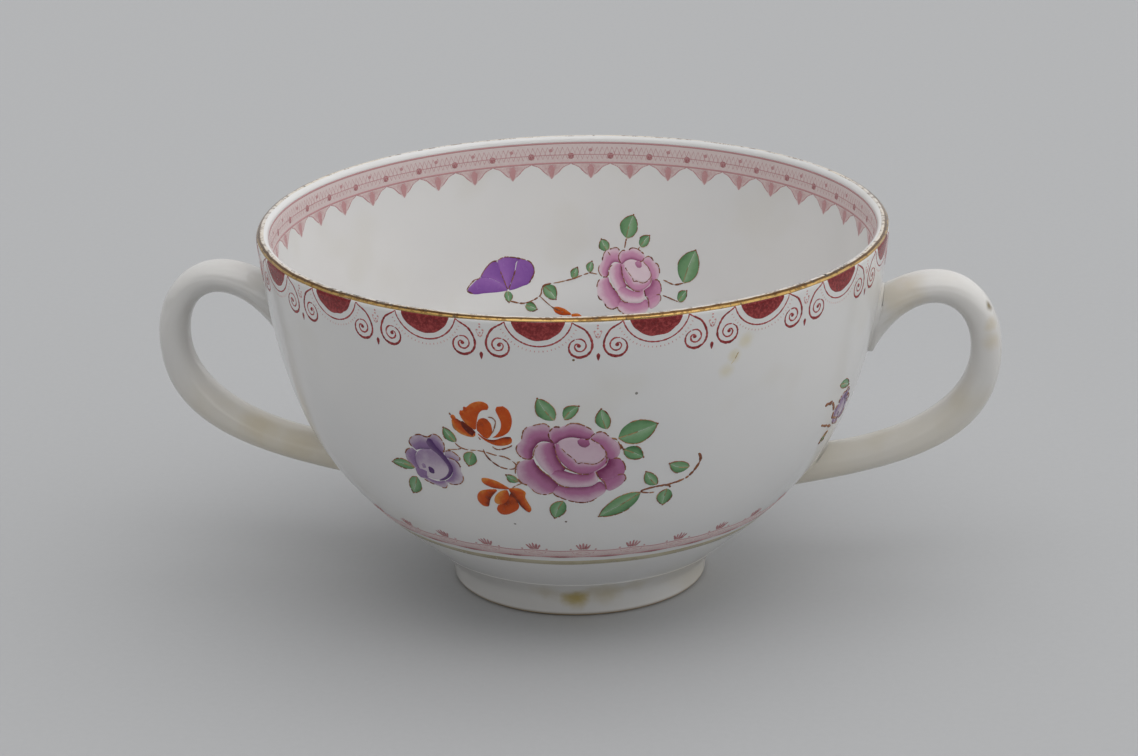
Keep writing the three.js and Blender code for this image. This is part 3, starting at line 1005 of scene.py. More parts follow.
# Each petal: its outer edge, its inner edge, and the tones at the two.
ROSE = [
    ([(-3.6, 41.3), (-3.2, 38.6), (-1.6, 36.6), (0.8, 35.2), (2.8, 35.4)],
     [(1.6, 42.0), (3.2, 40.9), (4.3, 39.2), (4.5, 37.6), (3.4, 35.9)], 0.12, 0.16),
    ([(-4.0, 44.0), (-5, 44.5), (-6.2, 44.2), (-7.3, 43.9), (-8.0, 43.2), (-8.3, 42.0), (-8.7, 41.2),
      (-9.25, 40.5), (-9.3, 39.6), (-8.8, 38.6), (-7.7, 38.1)],
     [(-3.7, 41.0), (-4.4, 41.3), (-5.2, 41.4), (-5.9, 41.1), (-6.4, 40.5), (-6.75, 39.8), (-6.9, 39.0),
      (-7.0, 38.5), (-7.2, 38.3)], 0.1, 0.95),
    ([(-7.0, 38.3), (-7.6, 38.2), (-8.6, 37.8), (-9.4, 37.2), (-9.65, 36.0), (-9.6, 34.8), (-9.2, 33.8),
      (-8.2, 33.1), (-7.5, 32.2), (-6.6, 31.6), (-5.6, 31.4), (-4.6, 31.6), (-4.0, 32.0)],
     [(-6.8, 38.2), (-6.6, 37.6), (-6.2, 36.8), (-5.4, 35.9), (-4.6, 35.1), (-3.9, 34.3), (-3.3, 33.5),
      (-3.5, 32.8), (-3.9, 32.3)], 0.12, 0.98),
    ([(-4.1, 32.1), (-3.9, 31.5), (-3.2, 31.0), (-2.2, 30.4), (-1.0, 29.9), (0.5, 29.7), (1.8, 29.95),
      (2.9, 30.6), (3.9, 31.4), (4.4, 32.2)],
     [(-4.0, 32.6), (-3.2, 33.3), (-2, 33.0), (0, 32.9), (2, 33.1), (3.2, 33.9), (4.0, 33.2),
      (4.4, 32.5)], 0.08, 0.85),
    ([(7.0, 35.1), (7.3, 34.2), (6.9, 33.2), (6.0, 32.4), (5.0, 31.9), (4.4, 32.1)],
     [(6.2, 35.1), (5.2, 34.9), (4.2, 34.6), (3.4, 34.2), (3.9, 33.4), (4.3, 32.4)], 0.25, 0.8),
    ([(5.9, 38.2), (6.6, 37.6), (7.05, 36.9), (7.15, 35.9), (6.95, 35.0), (6.0, 34.7), (4.6, 34.2),
      (3.4, 34.5)],
     [(4.6, 38.2), (4.4, 37.5), (4.1, 36.8), (3.4, 36.3), (2.6, 35.8), (2.7, 35.3), (3.0, 34.9),
      (3.2, 34.5)], 0.55, 1.0),
    ([(1.8, 42.0), (2.3, 42.5), (3.1, 42.9), (4.0, 42.7), (4.8, 41.9), (5.6, 41.2), (6.2, 40.2),
      (6.3, 39.2), (5.9, 38.2)],
     [(1.9, 41.7), (2.7, 41.2), (3.4, 40.5), (3.9, 39.7), (4.2, 39.1), (4.3, 38.5), (4.5, 38.1),
      (5.0, 37.9)], 0.15, 0.7),
    ([(-4.0, 41.6), (-4.3, 42.5), (-4.1, 43.4), (-3.4, 44.0), (-2.6, 43.9), (-1.7, 44.3), (-0.5, 44.5),
      (0.6, 44.25), (1.6, 43.7), (2.2, 43.2), (2.4, 42.6)],
     [(-3.6, 41.0), (-3.2, 41.1), (-2.6, 41.6), (-1.8, 42.0), (-0.8, 42.1), (0.2, 41.9), (1.0, 41.7),
      (1.8, 41.8)], 0.15, 0.95),
    ([(-5.2, 41.3), (-6.1, 40.9), (-6.65, 40.0), (-6.7, 39.0), (-6.3, 37.8), (-5.6, 36.6), (-4.8, 35.7),
      (-4.2, 35.2)],
     [(-3.5, 41.2), (-3.4, 40.3), (-3.3, 39.4), (-3.0, 38.3), (-2.5, 37.3), (-2.0, 36.6), (-2.4, 36.0),
      (-3.2, 35.6)], 0.02, 1.0),
    ([(-4.7, 35.4), (-4.2, 34.6), (-3.4, 33.7), (-2.2, 33.1), (-0.6, 32.9), (1.0, 33.0), (2.2, 33.2),
      (2.9, 33.8), (2.9, 34.8), (2.4, 35.8)],
     [(-3.9, 35.9), (-3.2, 36.3), (-2.2, 36.1), (-1.2, 35.7), (0.0, 35.4), (1.0, 35.4), (1.8, 35.6),
      (2.3, 35.9)], 0.0, 0.85),
    ([(-3.3, 41.2), (-3.45, 40.0), (-3.2, 38.9), (-2.7, 37.8), (-1.9, 36.8), (-0.9, 36.0), (0.3, 35.5),
      (1.5, 35.5), (2.5, 35.9), (3.5, 36.6), (4.2, 37.4), (4.4, 38.4)],
     [(-2.7, 41.0), (-2.6, 40.2), (-2.0, 39.4), (-1.3, 38.7), (-0.7, 38.1), (-0.2, 37.4), (0.6, 37.5),
      (1.4, 37.3), (2.3, 37.2), (3.1, 37.5), (3.8, 38.2), (4.2, 38.8)], 0.65, 0.18),
    ([(-3.1, 41.2), (-2.4, 41.8), (-1.4, 42.05), (-0.3, 42.0), (0.8, 41.9), (1.8, 41.7), (2.8, 41.1),
      (3.6, 40.2), (4.15, 39.2)],
     [(-2.9, 40.7), (-2.3, 39.8), (-1.6, 39.0), (-0.9, 38.3), (-0.2, 37.5), (0.7, 37.5), (1.9, 37.3),
      (3.0, 37.5), (4.15, 38.8)], 0.12, 0.0),
    ([(0.0, 42.0), (-0.15, 41.3), (0.2, 40.6), (0.95, 40.25), (1.6, 40.6), (1.9, 41.2)],
     [(0.2, 42.0), (0.5, 41.9), (0.8, 41.85), (1.1, 41.8), (1.4, 41.75), (1.8, 41.6)], 0.75, 0.6),
]
ROSE_PEN = [
    [(-2.6, 40.4), (-1.9, 39.5), (-1.2, 38.8), (-0.6, 38.2), (-0.2, 37.5), (0.5, 37.6), (1.3, 37.4),
     (2.2, 37.25), (3.0, 37.5), (3.8, 38.2), (4.2, 38.8), (4.1, 39.4), (3.7, 40.1), (3.2, 40.8),
     (2.5, 41.3), (1.9, 41.8)],
    [(-3.6, 41.1), (-4.2, 42.0), (-4.3, 42.8), (-3.9, 43.5), (-3.3, 43.95), (-2.6, 43.9)],
    [(-1.9, 44.0), (-1.2, 44.5), (-0.3, 44.55), (0.6, 44.25), (1.4, 43.8), (2.0, 43.4)],
    [(0.9, 41.75), (1.6, 41.8), (2.2, 42.5), (3.1, 42.95), (3.9, 42.75), (4.5, 42.1)],
    [(4.9, 41.7), (5.7, 41.4), (6.2, 40.4), (6.35, 39.5)],
    [(-4.1, 43.9), (-4.8, 44.5), (-5.8, 44.35), (-6.6, 44.1)],
    [(-7.4, 43.9), (-8.0, 43.2), (-8.3, 42.2), (-8.4, 41.6)],
    [(-9.1, 40.7), (-9.35, 39.8), (-9.0, 38.9), (-8.3, 38.3), (-7.4, 38.2), (-6.9, 38.6), (-6.7, 39.4),
     (-6.4, 40.3), (-5.8, 40.9)],
    [(-9.0, 37.7), (-9.5, 37.0), (-9.75, 36.0)],
    [(-9.5, 34.4), (-9.0, 33.6), (-8.2, 33.2)],
    [(-7.6, 32.6), (-7.1, 31.9), (-6.2, 31.5), (-5.2, 31.45), (-4.2, 31.8), (-3.9, 31.3), (-3.0, 30.8),
     (-2.0, 30.3), (-0.8, 29.9), (0.6, 29.7), (1.9, 29.95), (2.8, 30.6)],
    [(-6.4, 37.1), (-5.6, 36.0), (-4.6, 35.1), (-3.9, 34.3), (-3.2, 33.5), (-2.3, 33.0), (-1.4, 33.0)],
    [(-3.7, 40.8), (-3.4, 39.8), (-3.3, 38.9), (-2.9, 37.9), (-2.4, 37.0), (-1.7, 36.4), (-0.9, 36.0),
     (0.2, 35.5), (1.6, 35.4)],
    [(2.6, 35.9), (2.9, 35.1), (3.2, 34.5), (3.9, 33.9), (4.2, 33.0), (4.3, 32.2)],
    [(5.2, 38.1), (6.0, 38.1), (6.7, 37.5), (7.1, 36.6), (7.2, 35.7)],
    [(5.9, 34.9), (6.5, 35.1), (7.0, 35.0), (7.35, 34.3), (7.1, 33.6)],
    [(4.2, 38.6), (4.3, 37.9), (4.1, 37.2)],
]
VIOLET = [
    ([(-26.7, 37.9), (-27.2, 38.8), (-26.8, 39.7), (-25.8, 40.35), (-24.8, 40.6), (-24, 40.3),
      (-23.4, 40.3)],
     [(-26.3, 37.5), (-25.6, 37.8), (-24.8, 38.0), (-24.0, 38.1), (-23.3, 38.3), (-22.9, 38.8)],
     0.15, 0.8),
    ([(-23.5, 40.4), (-22.8, 40.95), (-22.1, 41.1), (-21.4, 40.7), (-20.95, 39.8), (-20.9, 38.9),
      (-21.2, 38.0)],
     [(-23.3, 39.9), (-23.0, 39.3), (-22.6, 38.8), (-22.1, 38.3), (-21.6, 37.8), (-21.3, 37.5)],
     0.1, 0.95),
    ([(-26.7, 37.9), (-27.8, 37.4), (-28.5, 36.6), (-28.65, 35.6), (-28.3, 34.7), (-27.6, 34.1),
      (-27.0, 33.9)],
     [(-26.1, 37.3), (-26.5, 36.7), (-26.7, 36.0), (-26.8, 35.2), (-26.7, 34.6), (-26.5, 34.0)],
     0.25, 0.7),
    ([(-21.2, 38.2), (-20.2, 38.45), (-19.3, 38.1), (-18.7, 37.5), (-18.7, 36.9)],
     [(-21.2, 37.3), (-20.7, 37.0), (-20.1, 36.8), (-19.5, 36.7), (-18.9, 36.7)], 0.1, 0.5),
    ([(-20.6, 37.1), (-19.7, 37.0), (-19.0, 36.4), (-18.75, 35.6), (-18.85, 34.8), (-18.65, 33.9),
      (-18.9, 32.9), (-19.7, 32.2), (-20.8, 31.95), (-21.9, 32.1)],
     [(-20.8, 36.6), (-20.4, 36.0), (-20.2, 35.3), (-20.3, 34.6), (-20.6, 33.9), (-21.1, 33.3),
      (-21.6, 32.8), (-22.2, 32.5)], 0.05, 0.6),
    ([(-21.8, 32.3), (-22.0, 31.3), (-22.8, 30.9), (-24, 31.15), (-25.2, 31.6), (-26.1, 32.0)],
     [(-22.3, 32.5), (-23.0, 32.2), (-23.8, 32.1), (-24.6, 32.2), (-25.2, 32.4), (-25.8, 32.7)],
     0.1, 0.55),
    ([(-26.6, 34.2), (-26.8, 35.3), (-26.6, 36.4), (-26.0, 37.3), (-25.1, 37.9), (-24.0, 38.15),
      (-22.9, 38.2), (-22.0, 37.7), (-21.2, 36.8), (-20.8, 35.6), (-21.0, 34.5)],
     [(-26.2, 33.4), (-25.6, 32.8), (-24.9, 32.5), (-24.1, 32.35), (-23.3, 32.45), (-22.5, 32.7),
      (-21.8, 33.2), (-21.3, 33.8), (-21.1, 34.2)], 0.35, -0.1),
    ([(-23.7, 40.2), (-22.9, 40.1), (-22.3, 38.9), (-21.5, 38.0), (-20.8, 37.0), (-20.3, 35.9),
      (-20.2, 34.9), (-20.6, 34.0), (-21.3, 33.2), (-22.2, 32.6), (-23.3, 32.2)],
     [(-24.0, 39.6), (-23.8, 38.9), (-23.3, 38.2), (-22.5, 37.6), (-21.8, 36.8), (-21.2, 35.9),
      (-21.0, 35.0), (-21.2, 34.3), (-21.7, 33.6), (-22.4, 33.0), (-23.3, 32.5)], 1.0, 0.75),
    ([(-27.5, 33.8), (-26.6, 34.1), (-25.6, 34.0), (-24.9, 33.6)],
     [(-27.4, 32.9), (-26.8, 32.2), (-25.9, 32.2), (-25.2, 32.6)], 0.5, 0.5),
    ([(-24.9, 34.5), (-24.4, 34.9), (-23.8, 34.6), (-23.6, 34.0)],
     [(-24.8, 33.9), (-24.6, 33.6), (-24.1, 33.5), (-23.6, 33.8)], 1.0, 1.0),
    ([(-26.0, 34.9), (-25.5, 35.3), (-25.0, 35.0)], [(-25.9, 34.4), (-25.4, 34.3), (-25.0, 34.6)],
     0.4, 0.4),
]
VIOLET_PEN = [
    [(-26.8, 38.0), (-27.2, 38.8), (-26.8, 39.6), (-26.3, 40.0)],
    [(-25.9, 40.3), (-24.9, 40.6), (-24.0, 40.4), (-23.3, 40.5), (-22.6, 41.05), (-21.8, 41.0),
     (-21.2, 40.4), (-20.9, 39.5), (-20.95, 38.7), (-21.3, 38.0)],
    [(-27.3, 37.7), (-28.1, 37.2), (-28.6, 36.4)],
    [(-20.9, 38.3), (-20.0, 38.5), (-19.2, 38.1), (-18.6, 37.4), (-18.8, 36.8)],
    [(-20.5, 37.2), (-19.6, 36.9), (-19.0, 36.3), (-18.8, 35.6)],
    [(-18.7, 34.0), (-18.8, 33.2), (-19.4, 32.4), (-20.4, 32.0), (-21.6, 32.0)],
    [(-22.0, 31.6), (-22.5, 30.95), (-23.4, 30.95)],
    [(-24.4, 31.3), (-25.4, 31.6), (-26.2, 32.0)],
]
ORANGE = [
    ([(-15.4, 41.8), (-15.9, 41.45), (-16.8, 41.5), (-18, 41.9), (-18.8, 42.8), (-19.0, 43.9),
      (-18.7, 44.6)],
     [(-15.3, 42.4), (-15.8, 42.9), (-16.4, 43.3), (-17.0, 43.8), (-17.5, 44.1), (-18.2, 44.5)],
     0.2, 0.9),
    ([(-15.4, 42.7), (-16.6, 43.6), (-17.4, 44.7), (-17.4, 45.6), (-16.6, 46.3), (-15.8, 47.1),
      (-14.9, 47.6), (-13.9, 47.75), (-13.1, 47.4), (-12.9, 46.8)],
     [(-15.2, 42.9), (-15.1, 43.6), (-14.9, 44.4), (-14.7, 45.2), (-14.4, 45.8), (-14.0, 46.2),
      (-13.5, 46.35), (-13.1, 46.4)], 0.35, 0.6),
    ([(-15.1, 42.6), (-15.1, 43.6), (-14.7, 44.6), (-13.9, 45.0), (-13.2, 44.75)],
     [(-14.4, 41.8), (-13.6, 41.4), (-12.9, 42.2), (-12.7, 43.2), (-12.85, 44.2)], 0.65, 0.45),
    ([(-12.9, 41.6), (-12.1, 42.3), (-11.5, 43.2), (-11.3, 44.3), (-11.6, 45.4), (-11.95, 46.4),
      (-11.7, 47.1)],
     [(-12.3, 41.7), (-11.2, 42.1), (-10.2, 42.9), (-9.7, 44.1), (-9.6, 45.3), (-10.0, 46.6),
      (-10.8, 47.25)], 0.5, 0.5),
    ([(-15.1, 42.1), (-14.2, 41.2), (-13.2, 40.6), (-12.2, 40.3), (-11.0, 40.4), (-10.0, 40.9),
      (-9.8, 41.6)],
     [(-15.0, 42.3), (-14.2, 41.6), (-13.3, 41.3), (-12.3, 41.4), (-11.4, 41.8), (-10.6, 42.0),
      (-10.0, 42.0)], 0.3, 0.9),
    ([(-15.7, 41.5), (-16.6, 42.1), (-17.4, 43.1), (-17.5, 44.0)],
     [(-15.3, 42.3), (-15.8, 43.0), (-16.5, 43.6), (-17.3, 44.2)], 0.95, 1.0),
    ([(-19.1, 44.6), (-18.9, 45.0), (-18.4, 45.0)], [(-19.0, 44.3), (-18.5, 44.2), (-18.2, 44.6)],
     0.3, 0.3),
    ([(-17.6, 45.3), (-17.4, 45.9), (-16.9, 45.9)], [(-17.5, 45.0), (-17.0, 45.1), (-16.8, 45.5)],
     0.5, 0.5),
    ([(-16.9, 46.0), (-16.8, 46.6), (-16.3, 46.5)], [(-16.8, 45.8), (-16.3, 45.9), (-16.1, 46.3)],
     0.5, 0.5),
    ([(-15.6, 33.1), (-15.6, 33.9), (-14.8, 34.1), (-13.8, 33.9), (-12.8, 33.5), (-11.9, 32.9),
      (-11.2, 32.4)],
     [(-15.3, 32.8), (-14.7, 32.5), (-14.0, 32.2), (-13.2, 32.1), (-12.5, 32.1), (-11.8, 32.1),
      (-11.3, 32.2)], 0.2, 0.8),
    ([(-13.4, 32.0), (-14.8, 31.8), (-16.1, 31.4), (-16.9, 30.5), (-17.15, 29.3), (-16.6, 28.3),
      (-15.9, 27.95)],
     [(-13.3, 31.7), (-13.8, 31.1), (-14.3, 30.5), (-14.8, 29.7), (-15.1, 28.9), (-15.3, 28.3),
      (-15.6, 28.0)], 0.3, 0.9),
    ([(-12.0, 32.0), (-13.0, 31.5), (-13.9, 30.4), (-14.2, 29.3), (-13.6, 28.7)],
     [(-11.6, 32.0), (-11.4, 31.0), (-11.6, 30.0), (-12.1, 29.2), (-12.9, 28.7)], 0.05, 0.7),
    ([(-13.7, 28.6), (-14.1, 27.5), (-13.6, 26.6), (-12.6, 26.5), (-11.4, 27.1), (-10.4, 27.9),
      (-10.0, 28.8)],
     [(-13.0, 28.9), (-12.4, 29.2), (-11.9, 29.8), (-11.5, 30.6), (-11.2, 31.3), (-10.8, 31.4),
      (-10.4, 30.4)], 0.45, 0.85),
    ([(-11.5, 32.3), (-10.4, 32.5), (-9.4, 32.4), (-8.6, 31.7), (-8.8, 30.8), (-8.5, 29.7),
      (-8.1, 28.6), (-8.1, 27.8)],
     [(-11.3, 32.0), (-11.0, 31.2), (-10.6, 30.3), (-10.2, 29.5), (-9.8, 28.7), (-9.3, 28.0),
      (-8.8, 27.5), (-8.4, 27.4)], 0.25, 0.9),
]
ORANGE_PEN = [
    [(-13.2, 45.2), (-12.5, 45.1), (-12.1, 44.5), (-12.3, 43.6), (-12.6, 42.8), (-13.0, 42.2)],
    [(-15.0, 41.6), (-14.7, 41.1)],
    [(-13.0, 40.1), (-12.3, 39.65), (-11.3, 39.8), (-10.2, 40.3), (-9.9, 40.6)],
    [(-19.2, 45.3), (-19.0, 44.9)],
    [(-18.9, 43.6), (-18.8, 42.9), (-18.4, 42.3)],
]
# Each leaf: the end on the stem, the tip, the width, how far it bends and if it is washed in deeper.
LEAVES = [
    ((-3.4, 45.0), (-5.7, 48.7), 2.7, 0.2), ((-2.0, 45.2), (0.2, 47.4), 1.9, 0.3),
    ((4.2, 43.3), (3.4, 46.8), 2.2, 0.2), ((5.9, 41.7), (11.8, 43.6), 4.0, -0.1),
    ((6.8, 39.6), (9.9, 37.9), 2.4, 0.1, 0.15), ((10.0, 31.1), (3.2, 26.4), 3.4, 0.1),
    ((-2.6, 30.1), (-4.3, 26.2), 2.7, -0.2), ((12.5, 32.2), (10.5, 35.1), 2.0, 0.2),
    ((14.4, 31.2), (14.1, 27.8), 2.7, -0.1), ((17.7, 34.9), (14.2, 36.1), 2.2, 0.35),
    ((-27.4, 34.0), (-31.9, 34.1), 1.9, -0.25), ((-27.6, 32.2), (-29.9, 28.3), 2.4, 0.1),
    ((-18.8, 40.2), (-20.5, 42.6), 1.8, 0.2), ((-16.3, 38.8), (-17.3, 36.1), 2.2, -0.1),
    ((-9.6, 33.7), (-11.4, 35.0), 1.5, 0.1),
]
# Each stem: its line and its width.
STEMS = [
    ([(-19.0, 40.1), (-18.2, 39.4), (-17, 39.1), (-15.5, 39.15), (-14.2, 39), (-12.8, 38.6),
      (-11.4, 38.4), (-10.4, 37.9), (-9.7, 37.2), (-9.7, 36.6), (-10.2, 36.2), (-11.3, 36.2),
      (-12.4, 36.6), (-13.6, 37.6), (-14.3, 38.7), (-14.5, 39.6)], 0.22),
    ([(-20.5, 38.7), (-19, 38.9), (-18, 39.2)], 0.15), ([(-9.8, 36.2), (-9.9, 35.3)], 0.2),
    ([(-9.8, 34.5), (-9.2, 33.7), (-8.2, 33.2)], 0.36), ([(-8.9, 33.6), (-10, 33), (-10.8, 32.4)], 0.2),
    ([(9.9, 31.4), (11.6, 31.8), (13.4, 32.0), (14.8, 32.1), (16.0, 32.4)], 0.3),
    ([(-9.5, 37.5), (-8.9, 37.7)], 0.2), ([(6.3, 40.6), (6.5, 40.0), (6.9, 39.5)], 0.3),
    ([(4.9, 41.8), (5.8, 41.5)], 0.25),
    ([(9.9, 31.3), (10.4, 31.0), (11.4, 30.8), (12.4, 30.8)], 0.24),
    ([(12.3, 32.0), (13.5, 31.9), (14.6, 31.8), (14.9, 31.4)], 0.28),
    ([(15.6, 32.2), (16.5, 32.5), (17.5, 32.9), (18.4, 33.8), (19.1, 35), (19.4, 36), (19.2, 36.8),
      (18.8, 37.4)], 0.4),
]


def paint_bloom(work, pen, petals, outlines, scale=(1, 1), shift=(0, 0)):
    """Washes in the petals of a flower and draws round them."""
    for outer, inner, outer_tone, inner_tone in petals:
        outer, inner = moved(outer, scale, shift), moved(inner, scale, shift)
        work.film(outer, inner, outer_tone, inner_tone, power=1.3)
        work.level += 1
    for line in outlines:
        pen.dry_line(moved(line, scale, shift), PEN_WIDTH, 0.6)


def paint_leaf(work, pen, base, tip, width, bend, deeper=0.0):
    base, tip = np.array(base), np.array(tip)
    t = np.linspace(0, 1, 9)
    ahead = tip - base
    across = np.array([-ahead[1], ahead[0]]) / np.hypot(*ahead)
    middle = base + ahead * t[:, None] + across * (bend * 4 * t * (1 - t))[:, None]
    half = width / 2 * np.sin(math.pi * t**0.9) ** 0.75
    left, right = middle + across * half[:, None], middle - across * half[:, None]
    work.film(left, middle, 0.8 + deeper, 0.3 + deeper, power=1.5)
    work.film(middle, right, 0.15 + deeper, 0.7 + deeper, power=1.3)
    pen.dry_line(left[3:], 0.15, 0.5)
    pen.dry_line(right[:6], 0.12, 0.3)
    pen.dry_line(right[5:], 0.17, 0.6)
    pen.dry_line(middle[:5], 0.09, 0.1)
    pen.dot(middle[-1], 0.32, 0.7)


def paint_spray(name, facing, blooms, leaves, stems, inner=False):
    """One spray on the wall, each colour a piece of its own, and the pen over them."""
    where_on_wall = (inner_chart if inner else outer_chart)(facing)
    pen, green = Brushwork(where_on_wall, 18), Brushwork(where_on_wall)
    colours = INNER_COLOURS if inner else OUTER_COLOURS
    for label, flowers in blooms.items():
        work = Brushwork(where_on_wall)
        for petals, outlines, scale, shift in flowers:
            paint_bloom(work, pen, petals, outlines, scale, shift)
        work.finish(f"{name}_{label}", colours[label], "enamel")
    for leaf in leaves:
        paint_leaf(green, pen, *leaf)
    green.finish(f"{name}_leaves", leaf_green, "enamel")
    for line, width in stems:
        pen.dry_line(line, width * 1.1, 0.55, touch=2.0)
    pen.finish(f"{name}_pen_lines", brown_pen, "enamel")


WHOLE = ((1, 1), (0, 0))
OUTER_BLOOMS = {
    "rose": [(ROSE, ROSE_PEN, *WHOLE)],
    "violet": [(VIOLET, VIOLET_PEN, *WHOLE)],
    "orange_flowers": [(ORANGE, ORANGE_PEN, *WHOLE)],
}
paint_spray("front", FACING, OUTER_BLOOMS, LEAVES, STEMS)
paint_spray("back", FACING + math.pi, OUTER_BLOOMS, LEAVES, STEMS)

# The spray inside the wall opposite: only its upper half is seen over the near rim.
VIOLET_BUD = [
    ([(-12.4, 54.0), (-14.5, 53.9), (-17.0, 54.0), (-19.2, 54.1), (-20.4, 55.0)],
     [(-12.4, 54.2), (-13.8, 55.4), (-15.6, 56.4), (-17.6, 56.7), (-20.2, 55.2)], 0.95, 0.6),
    ([(-12.5, 54.0), (-13.8, 55.4), (-15.6, 56.4), (-17.4, 56.8), (-16.2, 58.3), (-14.9, 59.1)],
     [(-12.4, 54.1), (-12.9, 55.4), (-13.4, 56.9), (-13.6, 58.2), (-13.9, 59.0), (-14.8, 59.2)],
     0.7, 1.0),
    ([(-12.4, 54.0), (-13.0, 55.6), (-13.5, 57.2), (-13.8, 59.2), (-12.3, 59.7)],
     [(-12.3, 54.1), (-11.6, 55.6), (-10.8, 57.2), (-10.4, 58.6), (-9.8, 59.2), (-12.2, 59.7)],
     0.6, 0.95),
    ([(-12.3, 54.0), (-11.6, 55.4), (-10.8, 57.0), (-9.8, 59.2), (-7.7, 58.4)],
     [(-12.2, 54.0), (-11.1, 54.1), (-9.6, 54.5), (-8.3, 54.9), (-7.2, 56.7), (-7.6, 58.3)], 0.75, 0.95),
]
VIOLET_BUD_PEN = [
    [(-19.3, 54.2), (-20.4, 55.0), (-18.8, 56.4), (-17.6, 56.7), (-16.2, 58.2), (-14.9, 59.1),
     (-13.8, 59.2)],
    [(-13.8, 59.3), (-12.3, 59.7), (-9.6, 59.2), (-7.7, 58.4), (-7.2, 56.7), (-8.3, 54.9)],
    [(-12.5, 54.2), (-13.0, 55.8), (-13.5, 57.4)],
    [(-12.3, 54.2), (-11.4, 55.8), (-10.6, 57.4)],
]
INNER_BLOOMS = {
    "rose": [(ROSE, ROSE_PEN, (0.734, 0.8), (11.55, 25.0))],
    "violet": [(VIOLET_BUD, VIOLET_BUD_PEN, *WHOLE)],
    "orange_flowers": [(ORANGE[9:], [], (0.8, 0.8), (8.5, 23.4))],
}
INNER_LEAVES = [
    ((9.7, 62.2), (10.9, 66.3), 3.2, 0.2), ((21.0, 55.4), (22.8, 61.2), 4.2, 0.2),
    ((6.3, 60.0), (5.2, 62.0), 1.9, 0.1), ((12.2, 60.9), (13.9, 62.9), 1.8, 0.1),
    ((-12.6, 54.0), (-12.5, 52.0), 1.6, 0.1), ((-5.6, 54.3), (-3.4, 51.9), 2.4, 0.2),
    ((-9.5, 51.2), (-7.2, 50.4), 1.6, 0.1), ((-0.1, 55.2), (0.8, 57.2), 1.5, 0.1),
    ((2.9, 56.3), (3.5, 58.2), 1.4, 0.1), ((20.4, 52.2), (21.9, 54.2), 1.8, 0.1),
    ((17.0, 49.5), (20.5, 46.8), 3.0, 0.2),
]
INNER_STEMS = [
    ([(-12.4, 52.2), (-9.5, 51.6), (-6.5, 52.6), (-5.6, 54.3), (-2.6, 54.8), (0.0, 55.3), (2.9, 56.2),
      (4.6, 56.0)], 0.25),
    ([(9.4, 60.5), (9.7, 62.2)], 0.28), ([(17.0, 55.6), (19.2, 55.0), (21.0, 55.4)], 0.25),
    ([(17.2, 53.0), (20.4, 52.2)], 0.2), ([(-6.5, 52.6), (-4.2, 50.6), (-2.0, 49.6)], 0.22),
    ([(6.9, 59.2), (6.3, 60.0)], 0.2), ([(11.8, 60.3), (12.2, 60.9)], 0.2),
]
paint_spray("inside_back", math.radians(97), INNER_BLOOMS, INNER_LEAVES, INNER_STEMS, inner=True)

# A small sprig beside each pair of handle seats, half turned away from the camera.
SPRIG_BLOOMS = {"violet": [(VIOLET, VIOLET_PEN, (0.6, 0.62), (67.4, 13.3))]}
SPRIG_LEAVES = [((49.2, 40.8), (53.6, 39.4), 1.6, 0.2), ((51.0, 32.0), (49.0, 30.2), 1.3, 0.1)]
SPRIG_STEMS = [
    ([(45.5, 38.4), (47.0, 38.3), (48.3, 37.9), (49.3, 36.8), (50.0, 35.5), (50.3, 34.7), (51.5, 34.2),
      (53.5, 33.5)], 0.6),
    ([(46.5, 34.5), (48.0, 33.9), (49.5, 33.4), (51.5, 32.6)], 0.5),
]
for name, turned in (("side_right", 0), ("side_left", math.pi)):
    paint_spray(name, FACING + turned, SPRIG_BLOOMS, SPRIG_LEAVES, SPRIG_STEMS)

# Two iron specks under the glaze and a rusty scratch beside the spray.
marks = Brushwork(outer_chart(FACING))
marks.dot(np.array([-2.4, 25.3]), 0.42, 1.0)
marks.dot(np.array([-0.4, 54.9]), 0.4, 0.8)
marks.dry_line([(23.9, 53.4), (23.3, 52.3), (22.7, 51.6)], 0.16, 0.1)
rust = enamel("rust_marks", (206, 190, 142), (150, 124, 84), (84, 68, 52), 0.5, 2200)
marks.finish("glaze_marks", rust, "enamel")

# Studio
# A wide pale grey sheet in a softly lit room, brighter overhead and a little to the right,
# and the camera of the photograph.
SOFT_LIGHT = (2.97, 2.97, 2.99, 1)
floor_material, tree, shader = new_material("studio_sheet")
grain = noise(tree, own_place(tree), 900, 3)
sheet_colour = blended(tree, grain, screen_colour(175, 176, 177), screen_colour(179, 180, 181))
feed(tree, shader["Base Color"], sheet_colour)
shader["Roughness"].default_value = 0.85
shader["Specular IOR Level"].default_value = 0.2
floor_mesh = bpy.data.meshes.new("studio_sheet")
FLOOR_HALF = 1.6
corners = [(x * FLOOR_HALF, y * FLOOR_HALF, 0) for x, y in ((-1, -1), (1, -1), (1, 1), (-1, 1))]
floor_mesh.from_pydata(corners, [], [(0, 1, 2, 3)])
floor_mesh.materials.append(floor_material)
floor = bpy.data.objects.new("studio_floor", floor_mesh)
bpy.context.scene.collection.objects.link(floor)

world = bpy.data.worlds.new("studio")
world.use_nodes = True
bpy.context.scene.world = world
tree = world.node_tree
paths = put(tree, "LightPath").outputs
seen = strongest(tree, paths["Is Camera Ray"], paths["Is Transmission Ray"])
sky = axes_of(tree, put(tree, "TexCoord").outputs["Generated"])
behind = maths(tree, "MAXIMUM", sky["Y"], 0.0)
above_table = between(tree, scaled(tree, behind, 0.25, sky["Z"]), 0.05, 0.25)
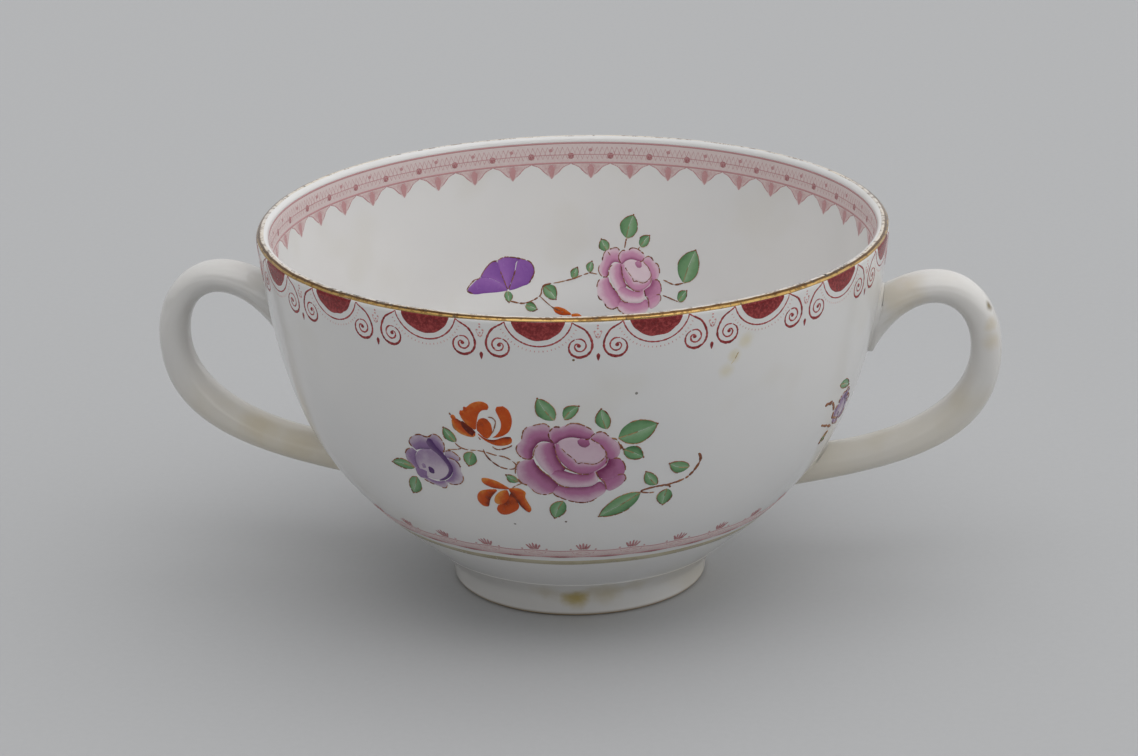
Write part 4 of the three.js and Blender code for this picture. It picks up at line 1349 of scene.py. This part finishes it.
# A dark gap in front, between the lamps, keeps the glaze there from shining white.
gap = times(tree, within(tree, sky["Z"], 0.42, 0.52, 0.72, 0.82), between(tree, sky["Y"], -0.3, -0.6))
front_top = times(tree, between(tree, sky["Z"], 0.76, 0.88), between(tree, sky["Y"], 0.1, -0.25))
to_the_right, at_the_back = scaled(tree, sky["X"], 0.38, 1.0), scaled(tree, behind, -0.33, 1.0)
with_gap, with_top = scaled(tree, gap, -0.9, 1.0), scaled(tree, front_top, 0.7, 1.0)
level = times(tree, above_table, with_gap, to_the_right, with_top, at_the_back)
FULL_LEVEL = 2.8
room = blended(tree, maths(tree, "DIVIDE", level, FULL_LEVEL), (0, 0, 0, 1), SOFT_LIGHT)
background = tree.nodes["Background"].inputs
feed(tree, background["Color"], blended(tree, seen, room, screen_colour(176, 177, 179)))
background["Strength"].default_value = 1.0


def hang(name, thing, place, axes):
    """Puts a lamp or a camera at its place, with its own X, Y and Z along the axes given."""
    holder = bpy.data.objects.new(name, thing)
    turned = Matrix(np.stack(axes, 1).tolist()).to_4x4()
    holder.matrix_world = Matrix.Translation(place) @ turned
    bpy.context.scene.collection.objects.link(holder)
    return holder


def softbox(name, place, target, size, power):
    lamp = bpy.data.lights.new(name, "AREA")
    lamp.shape, lamp.size, lamp.size_y, lamp.energy = "RECTANGLE", size[0], size[1], power
    away = unit(np.array(place) - target)
    side = unit(np.cross([0, 1, 0.01], away))
    hang(name, lamp, place, [side, np.cross(away, side), away])


softbox("overhead_light", (0.15, 0.25, 1.1), (0, 0, 0), (0.7, 0.5), 0.6)

FOCAL_PIXELS = 3400
IMAGE_WIDTH = 1138
SENSOR = 36.0
CAMERA_PLACE = np.array([60.4, -501.1, 213.16])
LOOK = np.array([-0.1147, 0.9343, -0.3375])
ROLL = math.radians(-1.335)
camera = bpy.data.cameras.new("photo_camera")
camera.sensor_width = SENSOR
camera.lens = FOCAL_PIXELS / IMAGE_WIDTH * SENSOR
camera.clip_start = 0.01
look = unit(LOOK)
sideways = unit(np.cross(look, [0, 0, 1]))
upright = np.cross(sideways, look)
right = sideways * math.cos(ROLL) + upright * math.sin(ROLL)
above = upright * math.cos(ROLL) - sideways * math.sin(ROLL)
viewer = hang("photo_camera", camera, CAMERA_PLACE * MM, [right, above, -look])
bpy.context.scene.camera = viewer
bpy.context.scene.view_settings.view_transform = "Standard"

bpy.context.view_layer.update()
